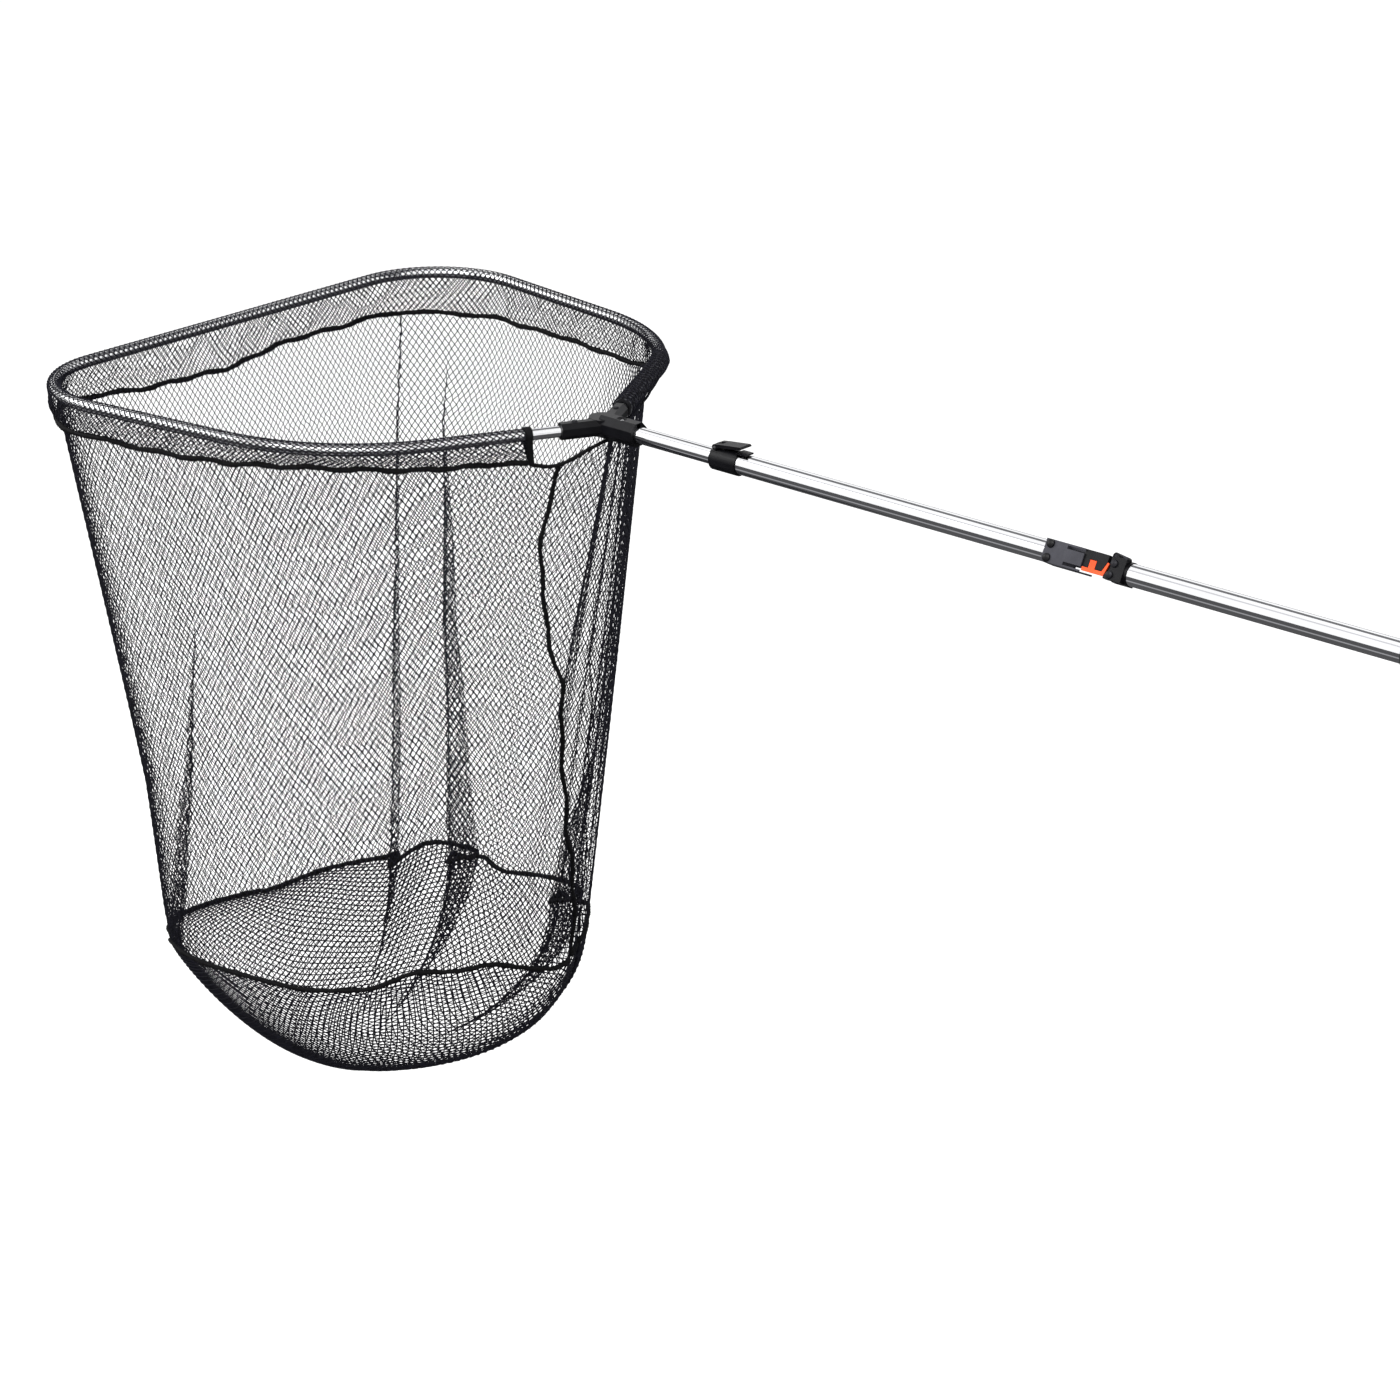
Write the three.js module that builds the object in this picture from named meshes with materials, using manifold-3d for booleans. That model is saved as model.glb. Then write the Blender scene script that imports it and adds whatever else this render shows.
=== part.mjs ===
// Folding landing net: a telescopic two-part handle, a fold lock, a yoke and a deep mesh bag on a
// bent tube hoop. Millimetres. +X runs along the handle from the grip to the hoop, +Z is up,
// and the origin is the middle of the grip on the handle's axis.
import * as THREE from 'three';
import { mergeVertices } from 'three/addons/utils/BufferGeometryUtils.js';
import Module from 'manifold-3d';

const wasm = await Module();
wasm.setup();

// ---- driving dimensions ------------------------------------------------------------------

const GAP = 0.3;                       // between pieces that touch
const YOKE_X = 980;                    // rear face of the yoke, from the middle of the grip

const HOOP_TUBE_R = 6.2;
const HOOP_TUBE_WALL = 1.2;
const HOOP_APEX_X = 44;                // where the two arm lines meet, ahead of the yoke's rear face
const HOOP_ARM_ANGLE = 63;             // degrees between an arm and the handle
const BAND_START = 98;                 // rim band on the near arm, from the arms' crossing
const GATHER_END = 62;                 // gathered mesh on the far arm, from the arms' crossing
const SHOULDER = { x: 186.5, y: 279.6, r: 230 };
const FAR_CORNER = { x: 608, y: 338, r: 108 };

const POLE_R = 8.85;
const POLE_WALL = 1.2;
const POLE_FRONT = 35;                 // ends of the inner pole, from the yoke's rear face
const POLE_REAR = -378;

const TUBE_R = 11;
const TUBE_WALL = 1;
const FRONT_TUBE_FRONT = -112;
const FOLD_FRONT = -523;
const FOLD_REAR = -615;
const FOLD_ROLL = 28;                  // degrees, fold lock turned about the handle
const FOLD_PIN_X = -602;
const FOLD_PIN_T = 12.3;               // hinge pin above the handle's axis, in the fold plane
const FOLD_HALF_T = 11.4;
const FOLD_HALF_N = 12.5;

const COLLAR_FRONT = -104;
const COLLAR_REAR = -138;
const COLLAR_R = 12.9;
const LEVER_PIVOT = { x: -109, z: 13.4 };

const YOKE_FLATS = 25;
const ARM_FLATS = 17.5;
const ARM_LENGTH = 52;
const BUTTON_X = 23;
const BUTTON_R = 2.6;
const BUTTON_TOP = 11.5;

const GRIP_HALF = 65;
const GRIP_R = 15.5;
const BUTT_X = -80;

const FABRIC = 2;                      // thickness of the stand-in walls of the net
const BAND_DEPTH = 52;                 // rim band, below the hoop's centre line
const TAPE_WIDTH = 5;
const TAPE_THICK = 4;
const GATHER_R = 9.5;
const BINDING = [84, 92];              // along the near arm, from the arms' crossing
const BINDING_TAIL_Z = -34;
const EDGE_CORD_R = 1.8;
const RING_Z = -655;                   // seam between wall and base
const RING = { x: 365, y: 28, a: 231, b: 168, turn: 41 };
const BASE_Z = -818;
const WALL_UNDER_YOKE = -20;           // the wall's top edge below the yoke and the far arm
const BAG_CENTRE_X = 330;
const LOFT_SIDES = 40;
const HOOP_ARC_STEPS = 8;

// ---- small helpers -----------------------------------------------------------------------

const rad = THREE.MathUtils.degToRad;

function toManifold(geometry) {
  const bare = geometry.index ? geometry.toNonIndexed() : geometry.clone();
  for (const name of Object.keys(bare.attributes)) {
    if (name !== 'position') {
      bare.deleteAttribute(name);
    }
  }
  const merged = mergeVertices(bare, 1e-4);
  return new wasm.Manifold(new wasm.Mesh({
    numProp: 3,
    vertProperties: merged.attributes.position.array,
    triVerts: Uint32Array.from(merged.index.array),
  }));
}

function toGeometry(manifold) {
  const mesh = manifold.getMesh();
  const geometry = new THREE.BufferGeometry();
  geometry.setAttribute('position', new THREE.BufferAttribute(mesh.vertProperties, 3));
  geometry.setIndex(new THREE.BufferAttribute(mesh.triVerts, 1));
  return geometry;
}

// First solids joined, then the others taken away.
function carve(joined, removed = []) {
  let body = toManifold(joined[0]);
  for (const piece of joined.slice(1)) {
    body = body.add(toManifold(piece));
  }
  for (const piece of removed) {
    body = body.subtract(toManifold(piece));
  }
  return toGeometry(body);
}

function box(x0, x1, y0, y1, z0, z1) {
  return new THREE.BoxGeometry(x1 - x0, y1 - y0, z1 - z0)
    .translate((x0 + x1) / 2, (y0 + y1) / 2, (z0 + z1) / 2);
}

// A round or many-sided rod along X, Y or Z between two stations.
function rodX(radius, x0, x1, sides = 24) {
  return new THREE.CylinderGeometry(radius, radius, x1 - x0, sides)
    .rotateZ(-Math.PI / 2)
    .translate((x0 + x1) / 2, 0, 0);
}

function rodY(radius, y0, y1, x, z, sides = 16) {
  return new THREE.CylinderGeometry(radius, radius, y1 - y0, sides)
    .translate(x, (y0 + y1) / 2, z);
}

function rodZ(radius, z0, z1, x, y = 0, sides = 16) {
  return new THREE.CylinderGeometry(radius, radius, z1 - z0, sides)
    .rotateX(Math.PI / 2)
    .translate(x, y, (z0 + z1) / 2);
}

// A body turned about the X axis. Its outline is a closed loop of [x, radius].
function turned(outline, sides = 24) {
  const points = outline.map(([x, r]) => new THREE.Vector2(r, x));
  points.push(points[0].clone());
  const geometry = new THREE.LatheGeometry(points, sides);
  return geometry.rotateZ(-Math.PI / 2);
}

function pipeX(outer, inner, x0, x1, sides = 24) {
  return turned([[x0, inner], [x0, outer], [x1, outer], [x1, inner]], sides);
}

// A plate: an outline in the XZ plane with a thickness along Y.
function plateY(outline, y0, y1) {
  const shape = outline instanceof THREE.Shape
    ? outline
    : new THREE.Shape(outline.map(([x, z]) => new THREE.Vector2(x, z)));
  return new THREE.ExtrudeGeometry(shape, { depth: y1 - y0, bevelEnabled: false, curveSegments: 6 })
    .rotateX(Math.PI / 2)
    .translate(0, y1, 0);
}

function octagonX(flats, x0, x1) {
  const radius = flats / 2 / Math.cos(Math.PI / 8);
  return new THREE.CylinderGeometry(radius, radius, x1 - x0, 8)
    .rotateY(Math.PI / 8)
    .rotateZ(-Math.PI / 2)
    .translate((x0 + x1) / 2, 0, 0);
}

// ---- hoop line ---------------------------------------------------------------------------

// Corner points of the hoop in plan, from the near arm round to the far arm.
function hoopCorners() {
  const onArm = (distance, side) => ({
    x: HOOP_APEX_X + distance * Math.cos(rad(HOOP_ARM_ANGLE)),
    y: side * distance * Math.sin(rad(HOOP_ARM_ANGLE)),
    r: 0,
  });
  const far = [FAR_CORNER, SHOULDER].map((p) => ({ ...p, y: -p.y }));
  return [
    onArm(20, 1), onArm(BAND_START, 1), SHOULDER, FAR_CORNER,
    ...far, onArm(GATHER_END, -1), onArm(20, -1),
  ];
}

// Points along a path with rounded corners.
function roundedPath(corners, arcSteps) {
  const points = [];
  corners.forEach((corner, i) => {
    const at = new THREE.Vector2(corner.x, corner.y);
    if (corner.r === 0) {
      points.push(at);
      return;
    }
    const before = new THREE.Vector2(corners[i - 1].x, corners[i - 1].y).sub(at).normalize();
    const after = new THREE.Vector2(corners[i + 1].x, corners[i + 1].y).sub(at).normalize();
    const half = Math.acos(before.dot(after)) / 2;
    const run = corner.r / Math.tan(half);
    const centre = at.clone().add(before.clone().add(after).normalize()
      .multiplyScalar(corner.r / Math.sin(half)));
    const from = at.clone().addScaledVector(before, run).sub(centre);
    const to = at.clone().addScaledVector(after, run).sub(centre);
    const sweep = Math.acos(from.clone().normalize().dot(to.clone().normalize()))
      * Math.sign(from.cross(to));
    for (let k = 0; k <= arcSteps; k += 1) {
      const spoke = from.clone().rotateAround(new THREE.Vector2(), sweep * k / arcSteps);
      points.push(centre.clone().add(spoke));
    }
  });
  return points;
}

const hoopPoints = roundedPath(hoopCorners(), HOOP_ARC_STEPS);
const HOOP_END = hoopPoints.length - 1;

// A stretch of the hoop line. All that follows the hoop bends at the same points.
class HoopStretch extends THREE.Curve {
  constructor(from, to) {
    super();
    this.stations = [from];
    for (let station = Math.floor(from) + 1; station < to; station += 1) {
      this.stations.push(station);
    }
    this.stations.push(to);
  }

  getPoint(t) {
    const steps = this.stations.length - 1;
    const i = Math.min(Math.floor(t * steps), steps - 1);
    const at = THREE.MathUtils.lerp(this.stations[i], this.stations[i + 1], t * steps - i);
    const k = Math.min(Math.floor(at), HOOP_END - 1);
    const point = hoopPoints[k].clone().lerp(hoopPoints[k + 1], at - k);
    return new THREE.Vector3(point.x, point.y, 0);
  }

  getUtoTmapping(u) {
    return u;
  }
}

// A section swept between two stations. In the section, x points down and y sideways.
function alongHoop(section, from, to) {
  const stretch = new HoopStretch(from, to);
  return new THREE.ExtrudeGeometry(section, {
    steps: stretch.stations.length - 1,
    extrudePath: stretch,
  });
}

function roundSection(radius, sides, hole = 0) {
  const ring = (r) => Array.from({ length: sides }, (_, k) => {
    const angle = 2 * Math.PI * k / sides;
    return new THREE.Vector2(r * Math.cos(angle), r * Math.sin(angle));
  });
  const shape = new THREE.Shape(ring(radius));
  if (hole > 0) {
    shape.holes.push(new THREE.Path(ring(hole)));
  }
  return shape;
}

function stripSection(top, bottom, thickness) {
  const half = thickness / 2;
  return new THREE.Shape([
    new THREE.Vector2(-top, -half),
    new THREE.Vector2(-bottom, -half),
    new THREE.Vector2(-bottom, half),
    new THREE.Vector2(-top, half),
  ]);
}

// Stations where the net's edge pieces start and stop.
const BAND_FROM = 1;
const BAND_TO = HOOP_END - 4;
const GATHER_FROM = BAND_TO + 0.06;
const GATHER_TO = HOOP_END - 1;
const SLEEVE_BORE = (HOOP_TUBE_R + GAP) / Math.cos(Math.PI / 8);

// ---- head --------------------------------------------------------------------------------

function alongArm(geometry, side) {
  return geometry.rotateZ(side * rad(HOOP_ARM_ANGLE)).translate(HOOP_APEX_X, 0, 0);
}

function yoke() {
  const groove = box(-1, BUTTON_X, -BUTTON_R - GAP, BUTTON_R + GAP, 0, BUTTON_TOP + 0.2);
  const dimple = new THREE.CylinderGeometry(6.4, 4.4, 1.4, 16)
    .rotateX(Math.PI / 2)
    .translate(BUTTON_X, 0, YOKE_FLATS / 2 - 0.5);
  return carve(
    [
      octagonX(YOKE_FLATS, 0, HOOP_APEX_X + 4),
      alongArm(octagonX(ARM_FLATS, 0, ARM_LENGTH), 1),
      alongArm(octagonX(ARM_FLATS, 0, ARM_LENGTH), -1),
      rodZ(15, -9, 9, HOOP_APEX_X + 6, 0, 12),
    ],
    [
      rodX(POLE_R + GAP, -1, POLE_FRONT + 1),
      alongArm(rodX(HOOP_TUBE_R + GAP + 0.1, 19.5, ARM_LENGTH + 1, 16), 1),
      alongArm(rodX(HOOP_TUBE_R + GAP + 0.1, 19.5, ARM_LENGTH + 1, 16), -1),
      rodZ(BUTTON_R + 0.4, 6, YOKE_FLATS, BUTTON_X),
      dimple,
      groove,
      alongArm(rodZ(2.3, -12, 12, 36), 1),
      alongArm(rodZ(2.3, -12, 12, 36), -1),
    ],
  );
}

// A rivet through an arm and the end of the hoop tube.
function armRivet(side) {
  const outline = [[-8.2, 0], [-8.2, 2], [9.05, 2], [9.05, 3.6], [10.3, 2.4], [10.6, 0]];
  return alongArm(turned(outline, 12).rotateY(-Math.PI / 2).translate(36, 0, 0), side);
}

function hoopTube() {
  const across = (side) => alongArm(rodZ(2.3, -9, 9, 36), side);
  const section = roundSection(HOOP_TUBE_R, 12);
  section.holes.push(new THREE.Path(roundSection(HOOP_TUBE_R - HOOP_TUBE_WALL, 8).getPoints()));
  return carve([alongHoop(section, 0, HOOP_END)], [across(1), across(-1)]);
}

// ---- net ---------------------------------------------------------------------------------

function hoopPolar(angle) {
  const direction = new THREE.Vector2(Math.cos(angle), Math.sin(angle));
  const centre = new THREE.Vector2(BAG_CENTRE_X, 0);
  const outline = [new THREE.Vector2(32, 0), ...hoopPoints];
  let reach = 0;
  outline.forEach((point, i) => {
    const a = point.clone().sub(centre);
    const edge = outline[(i + 1) % outline.length].clone().sub(centre).sub(a);
    const turn = direction.cross(edge);
    if (Math.abs(turn) > 1e-9) {
      const distance = a.cross(edge) / turn;
      const share = a.cross(direction) / turn;
      if (distance > 0 && share >= -1e-9 && share <= 1 + 1e-9) {
        reach = Math.max(reach, distance);
      }
    }
  });
  return reach;
}

function ringPolar(angle) {
  const swung = angle - rad(RING.turn);
  return 1 / Math.hypot(Math.cos(swung) / RING.a, Math.sin(swung) / RING.b);
}

// A point of the bag's wall: share 0 lies under the hoop and 1 on the base seam.
function bagPoint(angle, share, inset) {
  const reach = THREE.MathUtils.lerp(hoopPolar(angle), ringPolar(angle), share) - inset;
  return new THREE.Vector3(
    THREE.MathUtils.lerp(BAG_CENTRE_X, RING.x, share) + reach * Math.cos(angle),
    RING.y * share + reach * Math.sin(angle),
    RING_Z * share,
  );
}

// The wall hangs from the band's seam. It climbs to pass close under the yoke, and under the far
// arm, where its edge is gathered on the tube.
function wallTop(angle) {
  const signed = angle > Math.PI ? angle - 2 * Math.PI : angle;
  const fromYoke = Math.PI - Math.abs(signed);
  const climb = signed > 0 ? (0.24 - fromYoke) / 0.24 : (1.04 - fromYoke) / 0.12;
  const seam = -(BAND_DEPTH + TAPE_WIDTH + 2 * GAP);
  return THREE.MathUtils.lerp(seam, WALL_UNDER_YOKE, THREE.MathUtils.clamp(climb, 0, 1));
}

// A ring-shaped shell: the loops of its closed section are joined all the way round. The second
// half of the loops comes back up, so its faces are split the other way to keep the wall even.
function ringShell(loops) {
  const sides = loops[0].length;
  const positions = [];
  loops.forEach((loop, i) => {
    const next = loops[(i + 1) % loops.length];
    for (let k = 0; k < sides; k += 1) {
      const k1 = (k + 1) % sides;
      const corners = i < loops.length / 2
        ? [loop[k], loop[k1], next[k1], loop[k], next[k1], next[k]]
        : [loop[k], loop[k1], next[k], loop[k1], next[k1], next[k]];
      for (const p of corners) {
        positions.push(p.x, p.y, p.z);
      }
    }
  });
  const geometry = new THREE.BufferGeometry();
  geometry.setAttribute('position', new THREE.Float32BufferAttribute(positions, 3));
  return mergeVertices(geometry, 1e-4);
}

const loftAngles = Array.from({ length: LOFT_SIDES }, (_, k) => 2 * Math.PI * (k + 0.5) / LOFT_SIDES);

function shellBetween(topOf, bottomShare, inset, thickness, rows) {
  const loop = (row, depth) => loftAngles.map((angle) => {
    const share = THREE.MathUtils.lerp(topOf(angle) / RING_Z, bottomShare, row / rows);
    return bagPoint(angle, share, inset + depth);
  });
  const outside = Array.from({ length: rows + 1 }, (_, row) => loop(row, 0));
  const inside = outside.map((_, row) => loop(rows - row, thickness));
  return ringShell([...outside, ...inside].reverse());
}

function netWall() {
  return shellBetween(wallTop, 1, 0, FABRIC, 6);
}

function baseSeamTape() {
  const top = RING_Z - GAP;
  const section = [[-1, top], [TAPE_THICK - 1, top], [TAPE_THICK - 1, top - TAPE_WIDTH], [-1, top - TAPE_WIDTH]];
  return ringShell(section.map(([inset, z]) => loftAngles.map((angle) => {
    const point = bagPoint(angle, 1, inset);
    point.z = z;
    return point;
  })));
}

function netBase() {
  const top = RING_Z - TAPE_WIDTH - 2 * GAP;
  const rows = 4;
  const loop = (row, thickness) => loftAngles.map((angle) => {
    const dip = Math.PI / 2 * row / (rows + 0.35);
    const reach = ringPolar(angle) * Math.cos(dip) - thickness;
    return new THREE.Vector3(
      RING.x + reach * Math.cos(angle),
      RING.y + reach * Math.sin(angle),
      THREE.MathUtils.lerp(top, BASE_Z, Math.sin(dip)) + thickness * Math.sin(dip),
    );
  });
  const outside = Array.from({ length: rows + 1 }, (_, row) => loop(row, 0));
  const inside = Array.from({ length: rows + 1 }, (_, row) => loop(rows - row, FABRIC));
  return cappedShell([...outside], inside);
}

// An open bowl: both skins are closed at the bottom by a fan, and joined along the rim.
function cappedShell(outside, inside) {
  const positions = [];
  const add = (...points) => points.forEach((p) => positions.push(p.x, p.y, p.z));
  const sides = LOFT_SIDES;
  const wallOf = (upper, lower) => {
    for (let k = 0; k < sides; k += 1) {
      const k1 = (k + 1) % sides;
      add(upper[k], lower[k1], upper[k1], upper[k], lower[k], lower[k1]);
    }
  };
  const fan = (loop, up) => {
    const middle = loop.reduce((sum, p) => sum.add(p), new THREE.Vector3()).divideScalar(sides);
    for (let k = 0; k < sides; k += 1) {
      const k1 = (k + 1) % sides;
      add(middle, loop[up ? k : k1], loop[up ? k1 : k]);
    }
  };
  for (let row = 0; row + 1 < outside.length; row += 1) {
    wallOf(outside[row], outside[row + 1]);
    wallOf(inside[row], inside[row + 1]);
  }
  fan(outside[outside.length - 1], false);
  fan(inside[0], true);
  wallOf(inside[inside.length - 1], outside[0]);
  const geometry = new THREE.BufferGeometry();
  geometry.setAttribute('position', new THREE.Float32BufferAttribute(positions, 3));
  return mergeVertices(geometry, 1e-4);
}

function sideSeamTape() {
  const angle = Math.PI - 0.205;
  const rows = 6;
  const half = TAPE_WIDTH / 2;
  const points = Array.from({ length: rows + 1 }, (_, row) => {
    const share = THREE.MathUtils.lerp(0.12, 0.985, row / rows);
    return bagPoint(angle, share, -(TAPE_THICK / 2 + 2.2));
  });
  const section = new THREE.Shape([
    new THREE.Vector2(-TAPE_THICK / 2, -half),
    new THREE.Vector2(TAPE_THICK / 2, -half),
    new THREE.Vector2(TAPE_THICK / 2, half),
    new THREE.Vector2(-TAPE_THICK / 2, half),
  ]);
  return new THREE.ExtrudeGeometry(section, {
    steps: rows,
    extrudePath: new THREE.CatmullRomCurve3(points),
  });
}

// Mesh folded over the tube: a sleeve round it and a strip hanging below.
function rimBand() {
  const outer = roundSection(SLEEVE_BORE + 1.2, 8).getPoints().slice(1, 8);
  const half = FABRIC / 2;
  const section = new THREE.Shape([
    new THREE.Vector2(SLEEVE_BORE + 0.8, half),
    ...outer,
    new THREE.Vector2(SLEEVE_BORE + 0.8, -half),
    new THREE.Vector2(BAND_DEPTH, -half),
    new THREE.Vector2(BAND_DEPTH, half),
  ]);
  section.holes.push(new THREE.Path(roundSection(SLEEVE_BORE, 8).getPoints()));
  return alongHoop(section, BAND_FROM, BAND_TO);
}

function rimSeamTape() {
  const top = -BAND_DEPTH - GAP;
  return alongHoop(stripSection(top, top - TAPE_WIDTH, TAPE_THICK), BAND_FROM, BAND_TO);
}

function gatheredSleeve() {
  return alongHoop(roundSection(GATHER_R, 8, SLEEVE_BORE), GATHER_FROM, GATHER_TO);
}

// The binding that closes the near end of the rim band: a wrap round the tube with a tail.
function endBinding() {
  const [from, to] = BINDING;
  return carve([
    alongArm(pipeX(HOOP_TUBE_R + 2.4, HOOP_TUBE_R + 0.7, from, to, 16), 1),
    alongArm(box(from, to, -1.2, 1.2, BINDING_TAIL_Z, -HOOP_TUBE_R - 1.4), 1),
  ]);
}

// The bound edge of the mouth between the two arms, from the binding to the far socket.
function edgeCord() {
  const route = [
    [81.6, 74, -32], [75.3, 61.4, -36], [69, 49, -37], [60, 32, -31], [51, 15, -21],
    [44, 1, -15.6], [46, -14, -15], [58, -34, -14], [71, -58, -13],
  ];
  const curve = new THREE.CatmullRomCurve3(route.map((p) => new THREE.Vector3(...p)));
  return new THREE.ExtrudeGeometry(roundSection(EDGE_CORD_R, 6), { steps: 18, extrudePath: curve });
}

// ---- pole and snap button ----------------------------------------------------------------

function innerPole() {
  return carve(
    [pipeX(POLE_R, POLE_R - POLE_WALL, POLE_REAR, POLE_FRONT)],
    [rodZ(BUTTON_R + 0.4, 4, POLE_R + 1, BUTTON_X)],
  );
}

// Guide bush on the rear end of the inner pole, which slides in the front tube.
function poleBush() {
  const outside = TUBE_R - TUBE_WALL - GAP;
  const inside = POLE_R - POLE_WALL - GAP;
  const shoulder = POLE_REAR - GAP;
  return turned([
    [shoulder - 14, 4.5], [shoulder - 14, outside - 0.8], [shoulder - 13, outside],
    [shoulder, outside], [shoulder, inside], [shoulder + 12, inside], [shoulder + 12, 4.5],
  ]);
}

function snapButton() {
  const outline = [
    [4.6, 0], [4.6, 3.6], [5.4, 3.6], [5.4, BUTTON_R], [BUTTON_TOP - 1.4, BUTTON_R],
    [BUTTON_TOP - 0.5, BUTTON_R - 0.8], [BUTTON_TOP, 0],
  ];
  return turned(outline, 16).rotateY(-Math.PI / 2).translate(BUTTON_X, 0, 0);
}

// Leaf spring inside the pole. Its upper arm presses the button's flange up.
function snapSpring() {
  const t = 0.7;
  const leaf = new THREE.Shape([
    [18.8, 4.1], [-16, -2.4], [-19, -4.6], [-16, -6.9], [20, -6.9], [20, -6.9 + t],
    [-15.6, -6.9 + t], [-17.6, -4.6], [-15.4, -3.1], [18.8, 4.1 - t],
  ].map(([x, z]) => new THREE.Vector2(x, z)));
  return plateY(leaf, -2.4, 2.4);
}

// ---- front tube and clamp ----------------------------------------------------------------

function frontTube() {
  return pipeX(TUBE_R, TUBE_R - TUBE_WALL, FOLD_FRONT + GAP, FRONT_TUBE_FRONT);
}

// Split bush that centres the pole in the mouth of the front tube.
function clampBush() {
  return pipeX(TUBE_R - TUBE_WALL - GAP, POLE_R + GAP, FRONT_TUBE_FRONT - 30, FRONT_TUBE_FRONT - 2);
}

function clampCollar() {
  const lipBore = POLE_R + 0.35;
  const tubeBore = TUBE_R + GAP;
  const shoulder = FRONT_TUBE_FRONT + GAP;
  const barrel = turned([
    [COLLAR_REAR, tubeBore], [COLLAR_REAR, COLLAR_R], [COLLAR_FRONT - 1, COLLAR_R],
    [COLLAR_FRONT, COLLAR_R - 1], [COLLAR_FRONT, lipBore], [shoulder, lipBore], [shoulder, tubeBore],
  ]);
  const { x, z } = LEVER_PIVOT;
  return carve(
    [
      barrel,
      box(x - 3.2, x + 3.2, -2.8, 2.8, COLLAR_R - 3, z),
      rodY(3.2, -2.8, 2.8, x, z),
      box(COLLAR_REAR - 11, COLLAR_REAR + 2, -6.5, 6.5, tubeBore + 0.1, tubeBore + 1.6),
    ],
    [
      rodX(tubeBore, COLLAR_REAR - 12, shoulder),
      box(x - 4, COLLAR_FRONT + 1, 2.8, 10, z - 3.5, z + 4),
      box(x - 4, COLLAR_FRONT + 1, -10, -2.8, z - 3.5, z + 4),
      rodY(1.8, -4, 4, x, z),
    ],
  );
}

function clampLever() {
  const { x, z } = LEVER_PIVOT;
  const side = new THREE.Shape();
  side.moveTo(x - 34, z + 7);
  side.lineTo(x - 36, z + 5.2);
  side.lineTo(x - 34, z + 4);
  side.lineTo(x - 13, z + 1.2);
  side.lineTo(x - 6, z + 0.2);
  side.lineTo(x - 3, z - 0.6);
  side.absarc(x, z, 3, rad(191), rad(450), false);
  side.lineTo(x - 7, z + 4);
  return carve(
    [plateY(side, -8.3, 8.3)],
    [
      box(x - 7.5, x + 4, -3.1, 3.1, z - 4, z + 8),
      rodY(1.8, -9, 9, x, z),
    ],
  );
}

function clampPin() {
  const { x, z } = LEVER_PIVOT;
  return rodY(1.5, -8.1, 8.1, x, z, 12);
}

// ---- fold lock: x along the handle, y across the lock's face, z in the fold's plane --------

const PLATE_IN = FOLD_HALF_N - 1.6;
const FORK_SHOULDER = FOLD_FRONT - 24;
const FORK_REAR = FOLD_FRONT - 45;
const TANG_HALF = 4;
const SLIDER_HALF = PLATE_IN - GAP;
const SLIDER_REAR = -594.3;
const SLIDER_FRONT = FORK_REAR + 0.5;
const RIVET_X = -529;
const RIVET_T = 7;

function foldFork() {
  const slot = (y0, y1, t) => box(FORK_REAR - 1, FORK_REAR + 20, y0, y1, t - 1.6, t + 1.6);
  return carve(
    [
      box(FORK_SHOULDER, FOLD_FRONT, -FOLD_HALF_N, FOLD_HALF_N, -FOLD_HALF_T, FOLD_HALF_T),
      box(FORK_REAR, FORK_SHOULDER + 1, PLATE_IN, FOLD_HALF_N, -FOLD_HALF_T, FOLD_HALF_T),
      box(FORK_REAR, FORK_SHOULDER + 1, -FOLD_HALF_N, -PLATE_IN, -FOLD_HALF_T, FOLD_HALF_T),
      box(FOLD_PIN_X, FORK_SHOULDER + 1, -TANG_HALF, TANG_HALF, -5, FOLD_HALF_T),
      rodY(3.4, -TANG_HALF, TANG_HALF, FOLD_PIN_X, FOLD_PIN_T),
      rodX(TUBE_R - TUBE_WALL - GAP, FOLD_FRONT - 1, FOLD_FRONT + 30),
    ],
    [
      box(-591, -553, -5, 5, -0.6, 7.6),
      rodY(2.15, -5, 5, FOLD_PIN_X, FOLD_PIN_T),
      rodY(2.2, -14, 14, RIVET_X, RIVET_T),
      rodY(2.2, -14, 14, RIVET_X, -RIVET_T),
      slot(PLATE_IN - 1, 14, 8),
      slot(PLATE_IN - 1, 14, -8),
      slot(-14, 1 - PLATE_IN, 8),
      slot(-14, 1 - PLATE_IN, -8),
    ],
  );
}

function knuckleEar(y0, y1) {
  const ear = new THREE.Shape();
  ear.moveTo(-608, FOLD_HALF_T);
  ear.lineTo(-608, -FOLD_HALF_T);
  ear.lineTo(-595.4, -FOLD_HALF_T);
  ear.lineTo(-594.9, -8);
  ear.quadraticCurveTo(-602.5, -0.5, -598.6, 7);
  ear.lineTo(FOLD_PIN_X + 3.4, FOLD_PIN_T);
  ear.absarc(FOLD_PIN_X, FOLD_PIN_T, 3.4, 0, Math.PI, false);
  return plateY(ear, y0, y1);
}

const SCREW_UPPER = { x: -603.2, t: 4.8 };
const SCREW_LOWER = { x: -601.5, t: -6.6 };

function foldKnuckle() {
  const ear = TANG_HALF + 0.4;
  const screwHoles = [SCREW_UPPER, SCREW_LOWER].flatMap(({ x, t }) => [
    rodY(1.9, 6.2, 14, x, t, 12),
    rodY(1.9, -14, -6.2, x, t, 12),
  ]);
  return carve(
    [
      box(FOLD_REAR, -607, -FOLD_HALF_N, FOLD_HALF_N, -FOLD_HALF_T, FOLD_HALF_T),
      knuckleEar(ear, FOLD_HALF_N),
      knuckleEar(-FOLD_HALF_N, -ear),
      rodX(TUBE_R + 0.7, FOLD_REAR - 3, FOLD_REAR + 1),
      rodX(TUBE_R - TUBE_WALL - GAP, FOLD_REAR - 33, FOLD_REAR),
    ],
    [rodY(2.15, -14, 14, FOLD_PIN_X, FOLD_PIN_T), ...screwHoles],
  );
}

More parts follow.
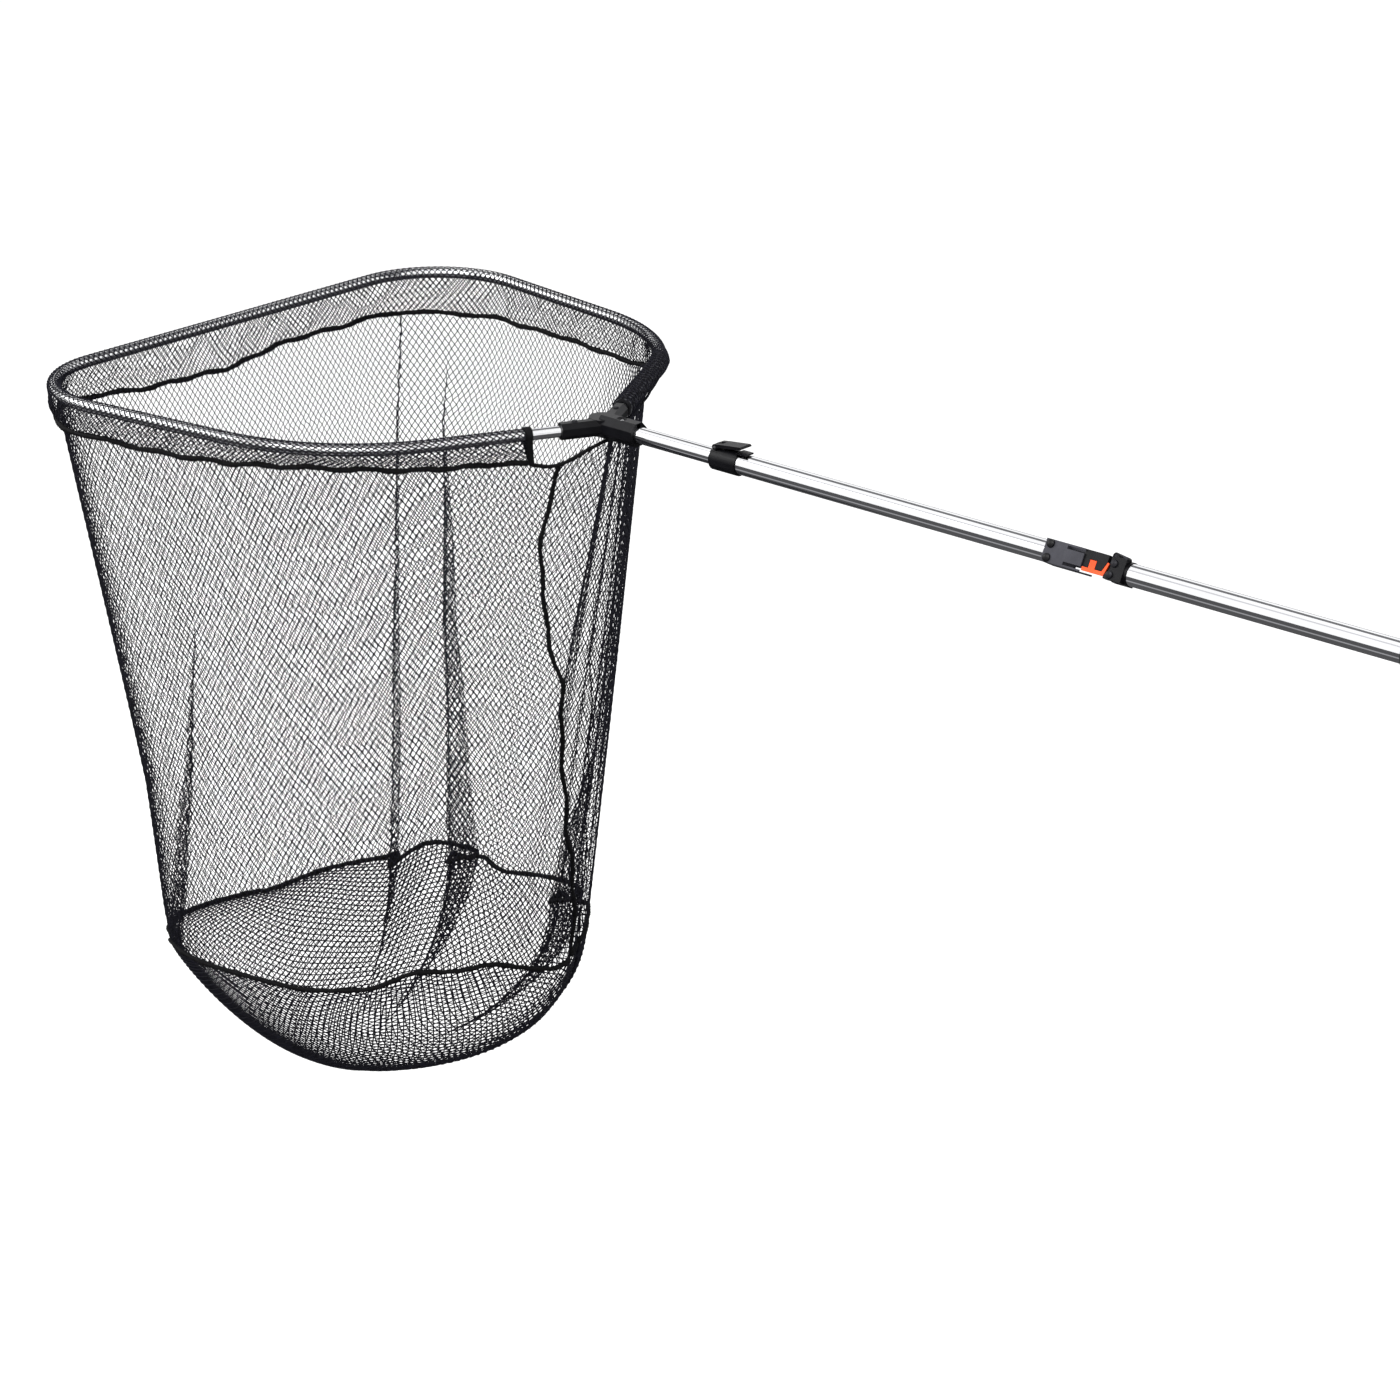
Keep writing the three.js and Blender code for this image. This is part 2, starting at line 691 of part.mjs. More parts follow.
function foldPin() {
  return rodY(1.85, 0.2 - FOLD_HALF_N, FOLD_HALF_N - 0.2, FOLD_PIN_X, FOLD_PIN_T);
}

function forkRivet(t) {
  const face = FOLD_HALF_N + GAP;
  const head = [[face, 1.9], [face, 4.4], [face + 1.4, 4], [face + 2.2, 2.4], [face + 2.3, 0]];
  const outline = [...head.map(([x, r]) => [-x, r]).reverse(), ...head];
  return turned(outline, 14).rotateZ(Math.PI / 2).translate(RIVET_X, 0, t);
}

function knuckleScrew({ x, t }, side) {
  const face = FOLD_HALF_N + GAP;
  const outline = [
    [6.6, 0], [6.6, 1.6], [face, 1.6], [face, 4], [face + 1.4, 3.5], [face + 2, 1.8], [face + 2.1, 0],
  ];
  return turned(outline, 12).rotateZ(side * Math.PI / 2).translate(x, 0, t);
}

// The catch's face: a thumb bar along the lower edge, an upright and a slanted hook.
function catchOutline(grow) {
  return [
    [[-594.2 - grow, -9.4 - grow], [-568.6 + grow, -9.4 - grow], [-568.6 + grow, -5.6 + grow], [-594.2 - grow, -5.6 + grow]],
    [[-582.5 - grow, -7], [-575.5 + grow, -7], [-575.5 + grow, 2.6 + grow], [-582.5 - grow, 2.6 + grow]],
    [[-594.2 - grow, -7], [-590.4 + grow, -7], [-594.8 + grow, 4.2 + grow], [-596.6 - grow, 3.6 + grow]],
  ];
}

const CATCH_BACK = 8.6;
const CATCH_FACE = PLATE_IN - GAP;
const CATCH_SPRING_AT = { x: -579, t: -1.6 };

function lockCatch() {
  return carve(
    catchOutline(0).map((outline) => plateY(outline, CATCH_BACK, CATCH_FACE)),
    [rodY(2.3, CATCH_BACK - 1, CATCH_FACE - 1, CATCH_SPRING_AT.x, CATCH_SPRING_AT.t, 12)],
  );
}

function catchSpring() {
  return pipeX(2, 1.2, 5.3, 7.7, 12).rotateZ(Math.PI / 2)
    .translate(CATCH_SPRING_AT.x, 0, CATCH_SPRING_AT.t);
}

function lockSlider() {
  const inner = TANG_HALF + 0.4;
  const pocket = catchOutline(0.4).map((outline) => plateY(outline, 6.2, FOLD_HALF_N));
  return carve(
    [
      box(SLIDER_REAR, SLIDER_FRONT, inner, SLIDER_HALF, -5.2, FOLD_HALF_T),
      box(SLIDER_REAR, SLIDER_FRONT, -SLIDER_HALF, -inner, -5.2, FOLD_HALF_T),
      box(-588, -573, -inner - 1, inner + 1, 0, 7),
    ],
    [...pocket, rodY(2.3, 4.9, 8, CATCH_SPRING_AT.x, CATCH_SPRING_AT.t, 12)],
  );
}

// ---- rear handle -------------------------------------------------------------------------

function rearTube() {
  return pipeX(TUBE_R, TUBE_R - TUBE_WALL, -GRIP_HALF - 1, YOKE_X + FOLD_REAR - 3 - GAP);
}

function grip() {
  return turned([
    [-GRIP_HALF, TUBE_R + GAP], [-GRIP_HALF, GRIP_R], [GRIP_HALF - 4, GRIP_R],
    [GRIP_HALF - 1, GRIP_R - 1.2], [GRIP_HALF, GRIP_R - 3], [GRIP_HALF, TUBE_R + GAP],
  ]);
}

function buttCap() {
  const rim = -GRIP_HALF - GAP;
  const tubeEnd = -GRIP_HALF - 1 - GAP;
  return turned([
    [BUTT_X, 0], [BUTT_X, GRIP_R - 1.5], [BUTT_X + 1.5, GRIP_R], [rim, GRIP_R],
    [rim, TUBE_R + GAP], [tubeEnd, TUBE_R + GAP], [tubeEnd, TUBE_R - TUBE_WALL - GAP],
    [-GRIP_HALF + 20, TUBE_R - TUBE_WALL - GAP], [-GRIP_HALF + 20, 0],
  ]);
}

// ---- assembly ----------------------------------------------------------------------------

// Colours and finishes.
const ALUMINIUM = [0xd9dadd, 0.22, 1];
const STEEL = [0xb9bbc0, 0.3, 1];
const BLACK_PLASTIC = [0x1a1b1e, 0.5, 0];
const GREY_CASTING = [0x3a3b42, 0.5, 0.2];
const DARK_STEEL = [0x17181b, 0.45, 0.5];
const ORANGE = [0xea5a2a, 0.4, 0];
const MESH_FABRIC = [0x1b1c20, 0.8, 0];
const BINDING_TAPE = [0x0d0d0f, 0.85, 0];
const FOAM = [0x222326, 0.95, 0];

function piece(parent, name, geometry, [color, roughness, metalness]) {
  const mesh = new THREE.Mesh(geometry, new THREE.MeshStandardMaterial({ color, roughness, metalness }));
  mesh.name = name;
  parent.add(mesh);
}

const model = new THREE.Group();

// Everything ahead of the grip is placed from the yoke's rear face.
const handle = new THREE.Group();
handle.position.set(YOKE_X, 0, 0);
model.add(handle);

piece(handle, 'yoke', yoke(), BLACK_PLASTIC);
piece(handle, 'hoop_tube', hoopTube(), ALUMINIUM);
piece(handle, 'arm_rivet_near', armRivet(1), DARK_STEEL);
piece(handle, 'arm_rivet_far', armRivet(-1), DARK_STEEL);
piece(handle, 'rim_band', rimBand(), MESH_FABRIC);
piece(handle, 'rim_seam_tape', rimSeamTape(), BINDING_TAPE);
piece(handle, 'gathered_sleeve', gatheredSleeve(), MESH_FABRIC);
piece(handle, 'end_binding', endBinding(), BINDING_TAPE);
piece(handle, 'edge_cord', edgeCord(), BINDING_TAPE);
piece(handle, 'net_wall', netWall(), MESH_FABRIC);
piece(handle, 'side_seam_tape', sideSeamTape(), BINDING_TAPE);
piece(handle, 'base_seam_tape', baseSeamTape(), BINDING_TAPE);
piece(handle, 'net_base', netBase(), MESH_FABRIC);

piece(handle, 'inner_pole', innerPole(), ALUMINIUM);
piece(handle, 'pole_bush', poleBush(), BLACK_PLASTIC);
piece(handle, 'snap_button', snapButton(), STEEL);
piece(handle, 'snap_spring', snapSpring(), STEEL);

piece(handle, 'front_tube', frontTube(), ALUMINIUM);
piece(handle, 'clamp_bush', clampBush(), BLACK_PLASTIC);
piece(handle, 'clamp_collar', clampCollar(), BLACK_PLASTIC);
piece(handle, 'clamp_lever', clampLever(), BLACK_PLASTIC);
piece(handle, 'clamp_pin', clampPin(), STEEL);

// The fold lock sits turned about the handle.
const fold = new THREE.Group();
fold.rotation.x = rad(FOLD_ROLL);
handle.add(fold);
piece(fold, 'fold_fork', foldFork(), GREY_CASTING);
piece(fold, 'fork_rivet_upper', forkRivet(RIVET_T), DARK_STEEL);
piece(fold, 'fork_rivet_lower', forkRivet(-RIVET_T), DARK_STEEL);
piece(fold, 'lock_slider', lockSlider(), BLACK_PLASTIC);
piece(fold, 'lock_catch', lockCatch(), ORANGE);
piece(fold, 'catch_spring', catchSpring(), STEEL);
piece(fold, 'fold_knuckle', foldKnuckle(), BLACK_PLASTIC);
piece(fold, 'fold_pin', foldPin(), STEEL);
piece(fold, 'knuckle_screw_upper_front', knuckleScrew(SCREW_UPPER, 1), DARK_STEEL);
piece(fold, 'knuckle_screw_lower_front', knuckleScrew(SCREW_LOWER, 1), DARK_STEEL);
piece(fold, 'knuckle_screw_upper_back', knuckleScrew(SCREW_UPPER, -1), DARK_STEEL);
piece(fold, 'knuckle_screw_lower_back', knuckleScrew(SCREW_LOWER, -1), DARK_STEEL);

piece(model, 'rear_tube', rearTube(), ALUMINIUM);
piece(model, 'grip', grip(), FOAM);
piece(model, 'butt_cap', buttCap(), BLACK_PLASTIC);

export default model;
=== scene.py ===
import math

import bpy
import numpy as np
from mathutils import Matrix, Vector


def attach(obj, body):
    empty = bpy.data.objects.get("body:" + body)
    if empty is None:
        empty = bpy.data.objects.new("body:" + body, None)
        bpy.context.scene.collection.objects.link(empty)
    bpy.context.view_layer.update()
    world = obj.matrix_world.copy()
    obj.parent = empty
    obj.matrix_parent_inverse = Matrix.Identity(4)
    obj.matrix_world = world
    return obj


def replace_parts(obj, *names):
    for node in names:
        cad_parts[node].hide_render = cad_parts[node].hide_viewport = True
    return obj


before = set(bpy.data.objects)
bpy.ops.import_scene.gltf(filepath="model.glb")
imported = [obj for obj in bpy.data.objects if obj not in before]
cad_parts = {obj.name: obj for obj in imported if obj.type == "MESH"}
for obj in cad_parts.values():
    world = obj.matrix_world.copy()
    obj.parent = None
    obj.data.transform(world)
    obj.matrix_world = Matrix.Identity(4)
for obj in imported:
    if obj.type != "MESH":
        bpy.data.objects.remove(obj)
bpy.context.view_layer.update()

MM = 0.001
YOKE_X = 980.0                         # rear face of the yoke, which the net is placed from

# ---- camera ------------------------------------------------------------------------------

CAMERA_PLACE = (-1.6182, 2.9422, 1.2938)
CAMERA_RIGHT = Vector((-0.7538, -0.6570, 0.0091))
CAMERA_UP = Vector((0.2528, -0.2772, 0.9269))

camera_data = bpy.data.cameras.new("camera")
camera_data.sensor_width = 36.0
camera_data.lens = 102.9
camera_data.shift_x = 0.0179
camera_data.clip_end = 50.0
camera = bpy.data.objects.new("camera", camera_data)
camera_back = CAMERA_RIGHT.cross(CAMERA_UP).normalized()
camera_axes = Matrix((CAMERA_RIGHT, camera_back.cross(CAMERA_RIGHT), camera_back))
camera.matrix_world = Matrix.Translation(CAMERA_PLACE) @ camera_axes.transposed().to_4x4()
bpy.context.scene.collection.objects.link(camera)
bpy.context.scene.camera = camera

# ---- materials ---------------------------------------------------------------------------

COLOUR_FROM, COLOUR_TO = 0.35, 0.65    # the part of a noise's 0 to 1 that a colour ramp spans
NUMBER_FROM, NUMBER_TO = 0.3, 0.7      # and that a number's range spans


class Shader:
    """A Principled material and a few helpers that wire textures into it."""

    def __init__(self, name, **values):
        self.material = bpy.data.materials.new(name)
        self.material.use_nodes = True
        self.tree = self.material.node_tree
        self.bsdf = self.tree.nodes["Principled BSDF"]
        for key, value in values.items():
            self.bsdf.inputs[key.replace("_", " ")].default_value = value

    def node(self, kind, **settings):
        node = self.tree.nodes.new(kind)
        for key, value in settings.items():
            if key in node.inputs:
                node.inputs[key].default_value = value
            else:
                setattr(node, key, value)
        return node

    def link(self, out, socket):
        self.tree.links.new(out, socket)

    def noise(self, scale, stretch=(1, 1, 1), detail=4.0):
        """Noise in the piece's own space, a factor of 0 to 1."""
        place = self.node("ShaderNodeTexCoord")
        mapping = self.node("ShaderNodeMapping")
        mapping.inputs["Scale"].default_value = stretch
        self.link(place.outputs["Object"], mapping.inputs["Vector"])
        noise = self.node("ShaderNodeTexNoise", Scale=scale, Detail=detail)
        self.link(mapping.outputs["Vector"], noise.inputs["Vector"])
        return noise.outputs["Fac"]

    def spread(self, factor, low, high, socket):
        """Maps a 0 to 1 factor to a range of numbers or colours on a socket."""
        if isinstance(low, tuple):
            ramp = self.node("ShaderNodeValToRGB")
            ramp.color_ramp.elements[0].position = COLOUR_FROM
            ramp.color_ramp.elements[0].color = (*low, 1)
            ramp.color_ramp.elements[1].position = COLOUR_TO
            ramp.color_ramp.elements[1].color = (*high, 1)
            self.link(factor, ramp.inputs["Fac"])
            self.link(ramp.outputs["Color"], self.bsdf.inputs[socket])
        else:
            span = self.node("ShaderNodeMapRange")
            span.inputs["From Min"].default_value = NUMBER_FROM
            span.inputs["From Max"].default_value = NUMBER_TO
            span.inputs["To Min"].default_value = low
            span.inputs["To Max"].default_value = high
            self.link(factor, span.inputs["Value"])
            self.link(span.outputs["Result"], self.bsdf.inputs[socket])

    def bump(self, height, distance, strength=0.5):
        bump = self.node("ShaderNodeBump", Strength=strength, Distance=distance)
        self.link(height, bump.inputs["Height"])
        self.link(bump.outputs["Normal"], self.bsdf.inputs["Normal"])


def tube_metal(name, tone, rough):
    """Drawn and polished tube: faint lines along it, small smudges."""
    s = Shader(name, Metallic=1.0)
    lines = s.noise(900, (0.012, 1, 1), 3)
    smudge = s.noise(38, (0.4, 1, 1), 5)
    s.spread(smudge, tuple(0.94 * c for c in tone), tone, "Base Color")
    s.spread(lines, rough, rough + 0.05, "Roughness")
    s.bump(lines, 0.00002, 0.12)
    return s.material


def moulded(name, low, high, rough, grain=2600, metallic=0.0):
    """Moulded plastic or coated casting: fine grain and slight tone changes."""
    s = Shader(name, Metallic=metallic, Specular_IOR_Level=0.2)
    s.spread(s.noise(60), low, high, "Base Color")
    fine = s.noise(grain, detail=2)
    s.spread(fine, rough, rough + 0.14, "Roughness")
    s.bump(fine, 0.00005, 0.35)
    return s.material


def thread(name, low, high, pitch):
    """Twisted thread: slanted ridges and a dull surface."""
    s = Shader(name, Roughness=0.7, Specular_IOR_Level=0.16)
    s.spread(s.noise(220), low, high, "Base Color")
    place = s.node("ShaderNodeTexCoord")
    mapping = s.node("ShaderNodeMapping")
    mapping.inputs["Rotation"].default_value = (0.5, 0.6, 0.4)
    s.link(place.outputs["Object"], mapping.inputs["Vector"])
    wave = s.node("ShaderNodeTexWave", Scale=pitch, Distortion=1.5)
    s.link(mapping.outputs["Vector"], wave.inputs["Vector"])
    s.bump(wave.outputs["Fac"], 0.00015, 0.6)
    return s.material


ALUMINIUM = tube_metal("aluminium_tube", (0.96, 0.965, 0.98), 0.03)
HOOP_METAL = tube_metal("hoop_aluminium", (0.92, 0.925, 0.94), 0.08)
STEEL = tube_metal("steel", (0.70, 0.70, 0.72), 0.24)
DARK_STEEL = moulded("dark_steel", (0.010, 0.010, 0.012), (0.02, 0.02, 0.024), 0.3, 1500, 0.5)
PLASTIC = moulded("black_plastic", (0.0018, 0.0018, 0.0026), (0.004, 0.004, 0.0054), 0.28)
GREY = moulded("grey_casting", (0.034, 0.034, 0.042), (0.048, 0.048, 0.058), 0.42, 1800, 0.1)
ORANGE = moulded("orange_plastic", (0.80, 0.075, 0.018), (0.90, 0.10, 0.025), 0.3, 2200)
FOAM = moulded("foam", (0.014, 0.014, 0.015), (0.026, 0.026, 0.028), 0.8, 1400)
NET = thread("net_thread", (0.003, 0.003, 0.006), (0.009, 0.009, 0.017), 900)
SLEEVE = thread("sleeve_thread", (0.003, 0.003, 0.004), (0.008, 0.008, 0.010), 700)
# Painted highlight: a pale grey colour on the crests of the sleeve's black ribs, standing in for the
# light they catch.
SLEEVE_HIGHLIGHT = thread("sleeve_crest_painted_highlight", (0.035, 0.035, 0.040), (0.08, 0.08, 0.09), 700)
SEAM = thread("seam_thread", (0.0008, 0.0008, 0.0012), (0.003, 0.003, 0.004), 500)

NODE_MATERIALS = {
    "yoke": PLASTIC, "hoop_tube": HOOP_METAL, "arm_rivet_near": DARK_STEEL,
    "arm_rivet_far": DARK_STEEL, "inner_pole": ALUMINIUM, "pole_bush": PLASTIC,
    "snap_button": STEEL, "snap_spring": STEEL, "front_tube": ALUMINIUM,
    "clamp_bush": PLASTIC, "clamp_collar": PLASTIC, "clamp_lever": PLASTIC,
    "clamp_pin": STEEL, "fold_fork": GREY, "fork_rivet_upper": PLASTIC,
    "fork_rivet_lower": PLASTIC, "lock_slider": PLASTIC, "lock_catch": ORANGE,
    "catch_spring": STEEL, "fold_knuckle": PLASTIC, "fold_pin": DARK_STEEL,
    "knuckle_screw_upper_front": DARK_STEEL, "knuckle_screw_lower_front": DARK_STEEL,
    "knuckle_screw_upper_back": DARK_STEEL, "knuckle_screw_lower_back": DARK_STEEL,
    "rear_tube": ALUMINIUM, "grip": FOAM, "butt_cap": PLASTIC,
    "rim_band": NET, "rim_seam_tape": SEAM, "gathered_sleeve": NET, "end_binding": SEAM,
    "edge_cord": SEAM, "net_wall": NET, "side_seam_tape": SEAM, "base_seam_tape": SEAM,
    "net_base": NET,
}


SHARP = math.radians(34)               # edges that turn by more than this stay crisp
SAME_POINT = 0.00002                   # corners nearer than this are one, in metres


def smoothing_group():
    """Joins split corners and shades all but the sharp edges smooth."""
    group = bpy.data.node_groups.new("smooth_by_angle", "GeometryNodeTree")
    group.interface.new_socket("Geometry", in_out="INPUT", socket_type="NodeSocketGeometry")
    group.interface.new_socket("Geometry", in_out="OUTPUT", socket_type="NodeSocketGeometry")
    new, link = group.nodes.new, group.links.new
    start, end = new("NodeGroupInput"), new("NodeGroupOutput")
    drop = new("GeometryNodeRemoveAttribute")
    drop.inputs["Name"].default_value = "custom_normal"
    merge = new("GeometryNodeMergeByDistance")
    merge.inputs["Distance"].default_value = SAME_POINT
    faces = new("GeometryNodeSetShadeSmooth")
    edges = new("GeometryNodeSetShadeSmooth")
    edges.domain = "EDGE"
    edges.inputs["Shade Smooth"].default_value = False
    angle = new("GeometryNodeInputMeshEdgeAngle")
    sharp = new("FunctionNodeCompare")
    sharp.data_type = "FLOAT"
    sharp.operation = "GREATER_THAN"
    sharp.inputs[1].default_value = SHARP
    link(start.outputs[0], merge.inputs["Geometry"])
    link(merge.outputs["Geometry"], drop.inputs["Geometry"])
    link(drop.outputs["Geometry"], faces.inputs["Geometry"])
    link(faces.outputs["Geometry"], edges.inputs["Geometry"])
    link(angle.outputs["Unsigned Angle"], sharp.inputs[0])
    link(sharp.outputs["Result"], edges.inputs["Selection"])
    link(edges.outputs["Geometry"], end.inputs[0])
    return group


SMOOTH = smoothing_group()

# Widths of the rounded edges, in millimetres.
BEVELLED = {"yoke": 0.6, "clamp_collar": 0.3, "clamp_lever": 0.5, "fold_knuckle": 0.4,
            "lock_slider": 0.25, "butt_cap": 0.5}

for node_name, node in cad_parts.items():
    node.data.materials.clear()
    node.data.materials.append(NODE_MATERIALS[node_name])
    node.modifiers.new("smooth", "NODES").node_group = SMOOTH
    if node_name in BEVELLED:
        bevel = node.modifiers.new("edges", "BEVEL")
        bevel.width = BEVELLED[node_name] * MM
        bevel.segments = 2
        bevel.limit_method = "ANGLE"
        bevel.angle_limit = SHARP
        bevel.harden_normals = True

# ---- hoop line, as in the CAD: millimetres from the yoke ----------------------------------

APEX_X, ARM = 44.0, math.radians(63)   # where the arms' lines meet, and their angle to the handle
ARM_END = 20                           # ends of the hoop line on the arms, from where they meet
SHOULDER_X, SHOULDER_Y, SHOULDER_R = 186.5, 279.6, 230
CORNER_X, CORNER_Y, CORNER_R = 608, 338, 108
HOOP_TUBE_R = 6.2


def arm_end(side):
    return (APEX_X + ARM_END * math.cos(ARM), side * ARM_END * math.sin(ARM), 0)


HOOP_CORNERS = [
    arm_end(1), (SHOULDER_X, SHOULDER_Y, SHOULDER_R), (CORNER_X, CORNER_Y, CORNER_R),
    (CORNER_X, -CORNER_Y, CORNER_R), (SHOULDER_X, -SHOULDER_Y, SHOULDER_R), arm_end(-1),
]


def rounded(corners, steps=32):
    """Points along a path whose corners (x, y, radius) are rounded."""
    points = []
    for i, (x, y, radius) in enumerate(corners):
        at = np.array([x, y], float)
        if radius == 0:
            points.append(at)
            continue
        before = np.array(corners[i - 1][:2]) - at
        after = np.array(corners[i + 1][:2]) - at
        before /= np.linalg.norm(before)
        after /= np.linalg.norm(after)
        half = math.acos(before @ after) / 2
        centre = (before + after) / np.linalg.norm(before + after)
        centre = at + centre * radius / math.sin(half)
        a = at + before * radius / math.tan(half) - centre
        b = at + after * radius / math.tan(half) - centre
        sweep = math.acos(a @ b / radius ** 2) * np.sign(a[0] * b[1] - a[1] * b[0])
        for k in range(steps + 1):
            c, s = math.cos(sweep * k / steps), math.sin(sweep * k / steps)
            points.append(centre + np.array([c * a[0] - s * a[1], s * a[0] + c * a[1]]))
    return np.array(points)


HOOP = rounded(HOOP_CORNERS)
HOOP_RUN = np.concatenate([[0], np.cumsum(np.linalg.norm(np.diff(HOOP, axis=0), axis=1))])
HOOP_LENGTH = HOOP_RUN[-1]
BAND_START, BAND_END = 73.0, HOOP_LENGTH - 227.0
GATHER_END = HOOP_LENGTH - 42.0        # the gathered mesh runs from the band's end to here
NEARBY = 6                             # either side of a point, to find the hoop's direction


def hoop_point(run):
    return np.stack([np.interp(run, HOOP_RUN, HOOP[:, i]) for i in (0, 1)], -1)


def hoop_at(run):
    """Points on the hoop line and the outward directions there."""
    ahead = hoop_point(run + NEARBY) - hoop_point(run - NEARBY)
    ahead /= np.linalg.norm(ahead, axis=-1, keepdims=True)
    return hoop_point(run), np.stack([-ahead[..., 1], ahead[..., 0]], -1)


# ---- the bag's shape: polar about its middle, and depth from the hoop to the base seam -----

RING_Z, BASE_Z = -655.0, -818.0
RING_X, RING_Y = 365.0, 28.0           # middle of the base seam, an ellipse
RING_A, RING_B, RING_TURN = 231.0, 168.0, math.radians(41)
RING_MEAN = 215.0                      # a typical reach of the seam, to turn pleat widths to angles
BAG_X = 330.0                          # the axis that the bag's angles turn about
YOKE_FRONT = 32.0                      # closes the hoop's outline at the yoke

FINE_ANGLES = np.radians(np.arange(-180, 180.01, 0.5))


def hoop_reach(angle):
    """How far the hoop line is from the bag's axis at each angle."""
    outline = np.vstack([[YOKE_FRONT, 0.0], HOOP]) - [BAG_X, 0]
    edge = np.roll(outline, -1, axis=0) - outline
    best = np.zeros(len(angle))
    for i, a in enumerate(angle):
        c, s = math.cos(a), math.sin(a)
        turn = c * edge[:, 1] - s * edge[:, 0]
        turn[np.abs(turn) < 1e-9] = 1e-9
        distance = (outline[:, 0] * edge[:, 1] - outline[:, 1] * edge[:, 0]) / turn
        share = (outline[:, 0] * s - outline[:, 1] * c) / turn
        hit = (distance > 0) & (share > -1e-6) & (share < 1 + 1e-6)
        best[i] = distance[hit].max()
    return best


HOOP_REACH = hoop_reach(FINE_ANGLES)


def ripple(x, seed):
    """Smooth repeatable noise, about -1 to 1, with a period of 1 in x."""
    total, weight = np.zeros_like(x), 0.0
    for k in (1, 2, 3):
        for m in range(3):
            rate = k * 3 + m * 2 - 1
            phase = math.sin(seed * 12.9898 + k * 78.233 + m * 37.719) * 43758.5453
            total = total + np.sin(2 * math.pi * (rate * x + phase)) / k
            weight += 0.6 / k
    return total / weight


def polar_table(pairs, angle):
    """A smooth closed curve of (degrees, value) pairs, read at angles in radians."""
    degrees, values = np.array(sorted(pairs)).T
    fine = np.arange(0, 360, 2.0)
    curve = np.interp(fine, degrees, values, period=360)
    kernel = np.hanning(9) / np.hanning(9).sum()
    curve = np.convolve(np.concatenate([curve[-8:], curve, curve[:8]]), kernel, "same")[8:-8]
    return np.interp(np.degrees(angle), fine, curve, period=360)


# Waves of the base seam, up and down round the bag, in degrees and millimetres.
RING_WAVES = [
    (17, -24), (45, -12), (82, -8), (108, -14), (133, -8), (147, 14), (163, 8), (175, 12),
    (187, -6), (203, -28), (221, 0), (238, 12), (268, -4), (277, 18), (294, 22), (311, 2),
    (337, -10), (356, -26),
]


def ring_height(angle):
    """Height of the base seam."""
    return RING_Z + polar_table(RING_WAVES, angle)


# Depth of the rim band round the hoop, in degrees and millimetres.
BAND_DEPTHS = [
    (2, 54), (24, 50), (42, 38), (61, 31), (73, 33), (86, 30), (96, 27), (105, 21), (113, 19),
    (129, 22), (138, 25), (155, 28), (163, 31), (180, 31), (228, 12), (237, 14), (247, 32),
    (254, 42), (276, 45), (298, 48), (306, 50), (315, 46), (328, 45), (338, 42), (349, 45),
]


def seam_drop(angle):
    """How far the rim band's seam hangs below the hoop."""
    turn = angle / (2 * math.pi)
    return polar_table(BAND_DEPTHS, angle) + 1.2 * ripple(turn, 1.3) + 1.0 * np.sin(31 * angle)


# Where the side seam lies, as (share of the wall's depth, degrees).
SIDE_SEAM = [(0.0, 171), (0.15, 169), (0.3, 174), (0.4, 177.5), (0.74, 196), (0.86, 204), (1.0, 208)]

# Height of the wall's top edge, in degrees and millimetres, where the yoke and the far arm hold it up.
EDGE_HEIGHTS = [(161, -31), (163, -33), (166.4, -36.5), (169.4, -37.5), (173.2, -31), (176.9, -21),
                (180, -16.5), (190, -14), (230, -13)]


def wall_top(angle):
    """Height of the wall's top edge: just inside the band's seam, or at EDGE_HEIGHTS."""
    turned = np.mod(np.degrees(angle), 360)
    degrees, heights = np.array(EDGE_HEIGHTS).T
    held = np.interp(turned, degrees, heights)
    blend = np.clip(np.minimum((turned - 153) / 8, (238 - turned) / 7), 0, 1)
    return (2 - seam_drop(angle)) * (1 - blend) + held * blend


# In degrees: small folds hang from the gathered mesh, the wall is drawn in beside them, and it
# bulges just above the base seam, by BULGE millimetres.
FOLDS_AT, FOLDS_HALF = 205, 38
DRAWN_AT, DRAWN_WIDTH = 236, 22
BULGE_AT, BULGE_WIDTH, BULGE = 41, 30, 12


def bell(degrees, middle, width):
    return np.exp(-((degrees - middle) / width) ** 2)


def wall_point(angle, height, inset=0.0):
    """Points of the bag's wall for angles and heights, in millimetres from the hoop's plane."""
    share = np.clip(height / RING_Z, 0, 1.06)
    swung = angle - RING_TURN
    ring = 1 / np.hypot(np.cos(swung) / RING_A, np.sin(swung) / RING_B)
    hoop = np.interp(np.mod(angle + math.pi, 2 * math.pi) - math.pi, FINE_ANGLES, HOOP_REACH)
    reach = hoop * (1 - share) + ring * share
    turn = angle / (2 * math.pi)
    sag = np.sin(math.pi * np.clip(share, 0, 1))
    reach = reach + sag * (3.0 * ripple(turn + 0.05 * share, 4.1) + 2.2 * ripple(3 * turn, 2.2))
    turned = np.mod(np.degrees(angle), 360)
    far_arm = np.clip(1 - np.abs(turned - FOLDS_AT) / FOLDS_HALF, 0, 1) ** 0.5
    folds = np.sin(44 * angle + 3 * np.sin(7 * angle) + 1.5 * share)
    reach = reach + far_arm * (2.6 - 1.6 * share) * folds * np.clip(share * 12, 0.25, 1)
    drawn_in = bell(turned, DRAWN_AT, DRAWN_WIDTH) * np.clip(share * 22, 0, 1)
    reach = reach - drawn_in * (15 - 34 * share + 10 * share ** 2)
    low_bulge = bell(turned, BULGE_AT, BULGE_WIDTH) * np.clip((share - 0.72) / 0.28, 0, 1.2)
    reach = reach + BULGE * low_bulge
    reach = reach - inset
    x = BAG_X * (1 - share) + RING_X * share + reach * np.cos(angle)
    y = RING_Y * share + reach * np.sin(angle)
    return np.stack([x, y, height + 0 * x], -1)


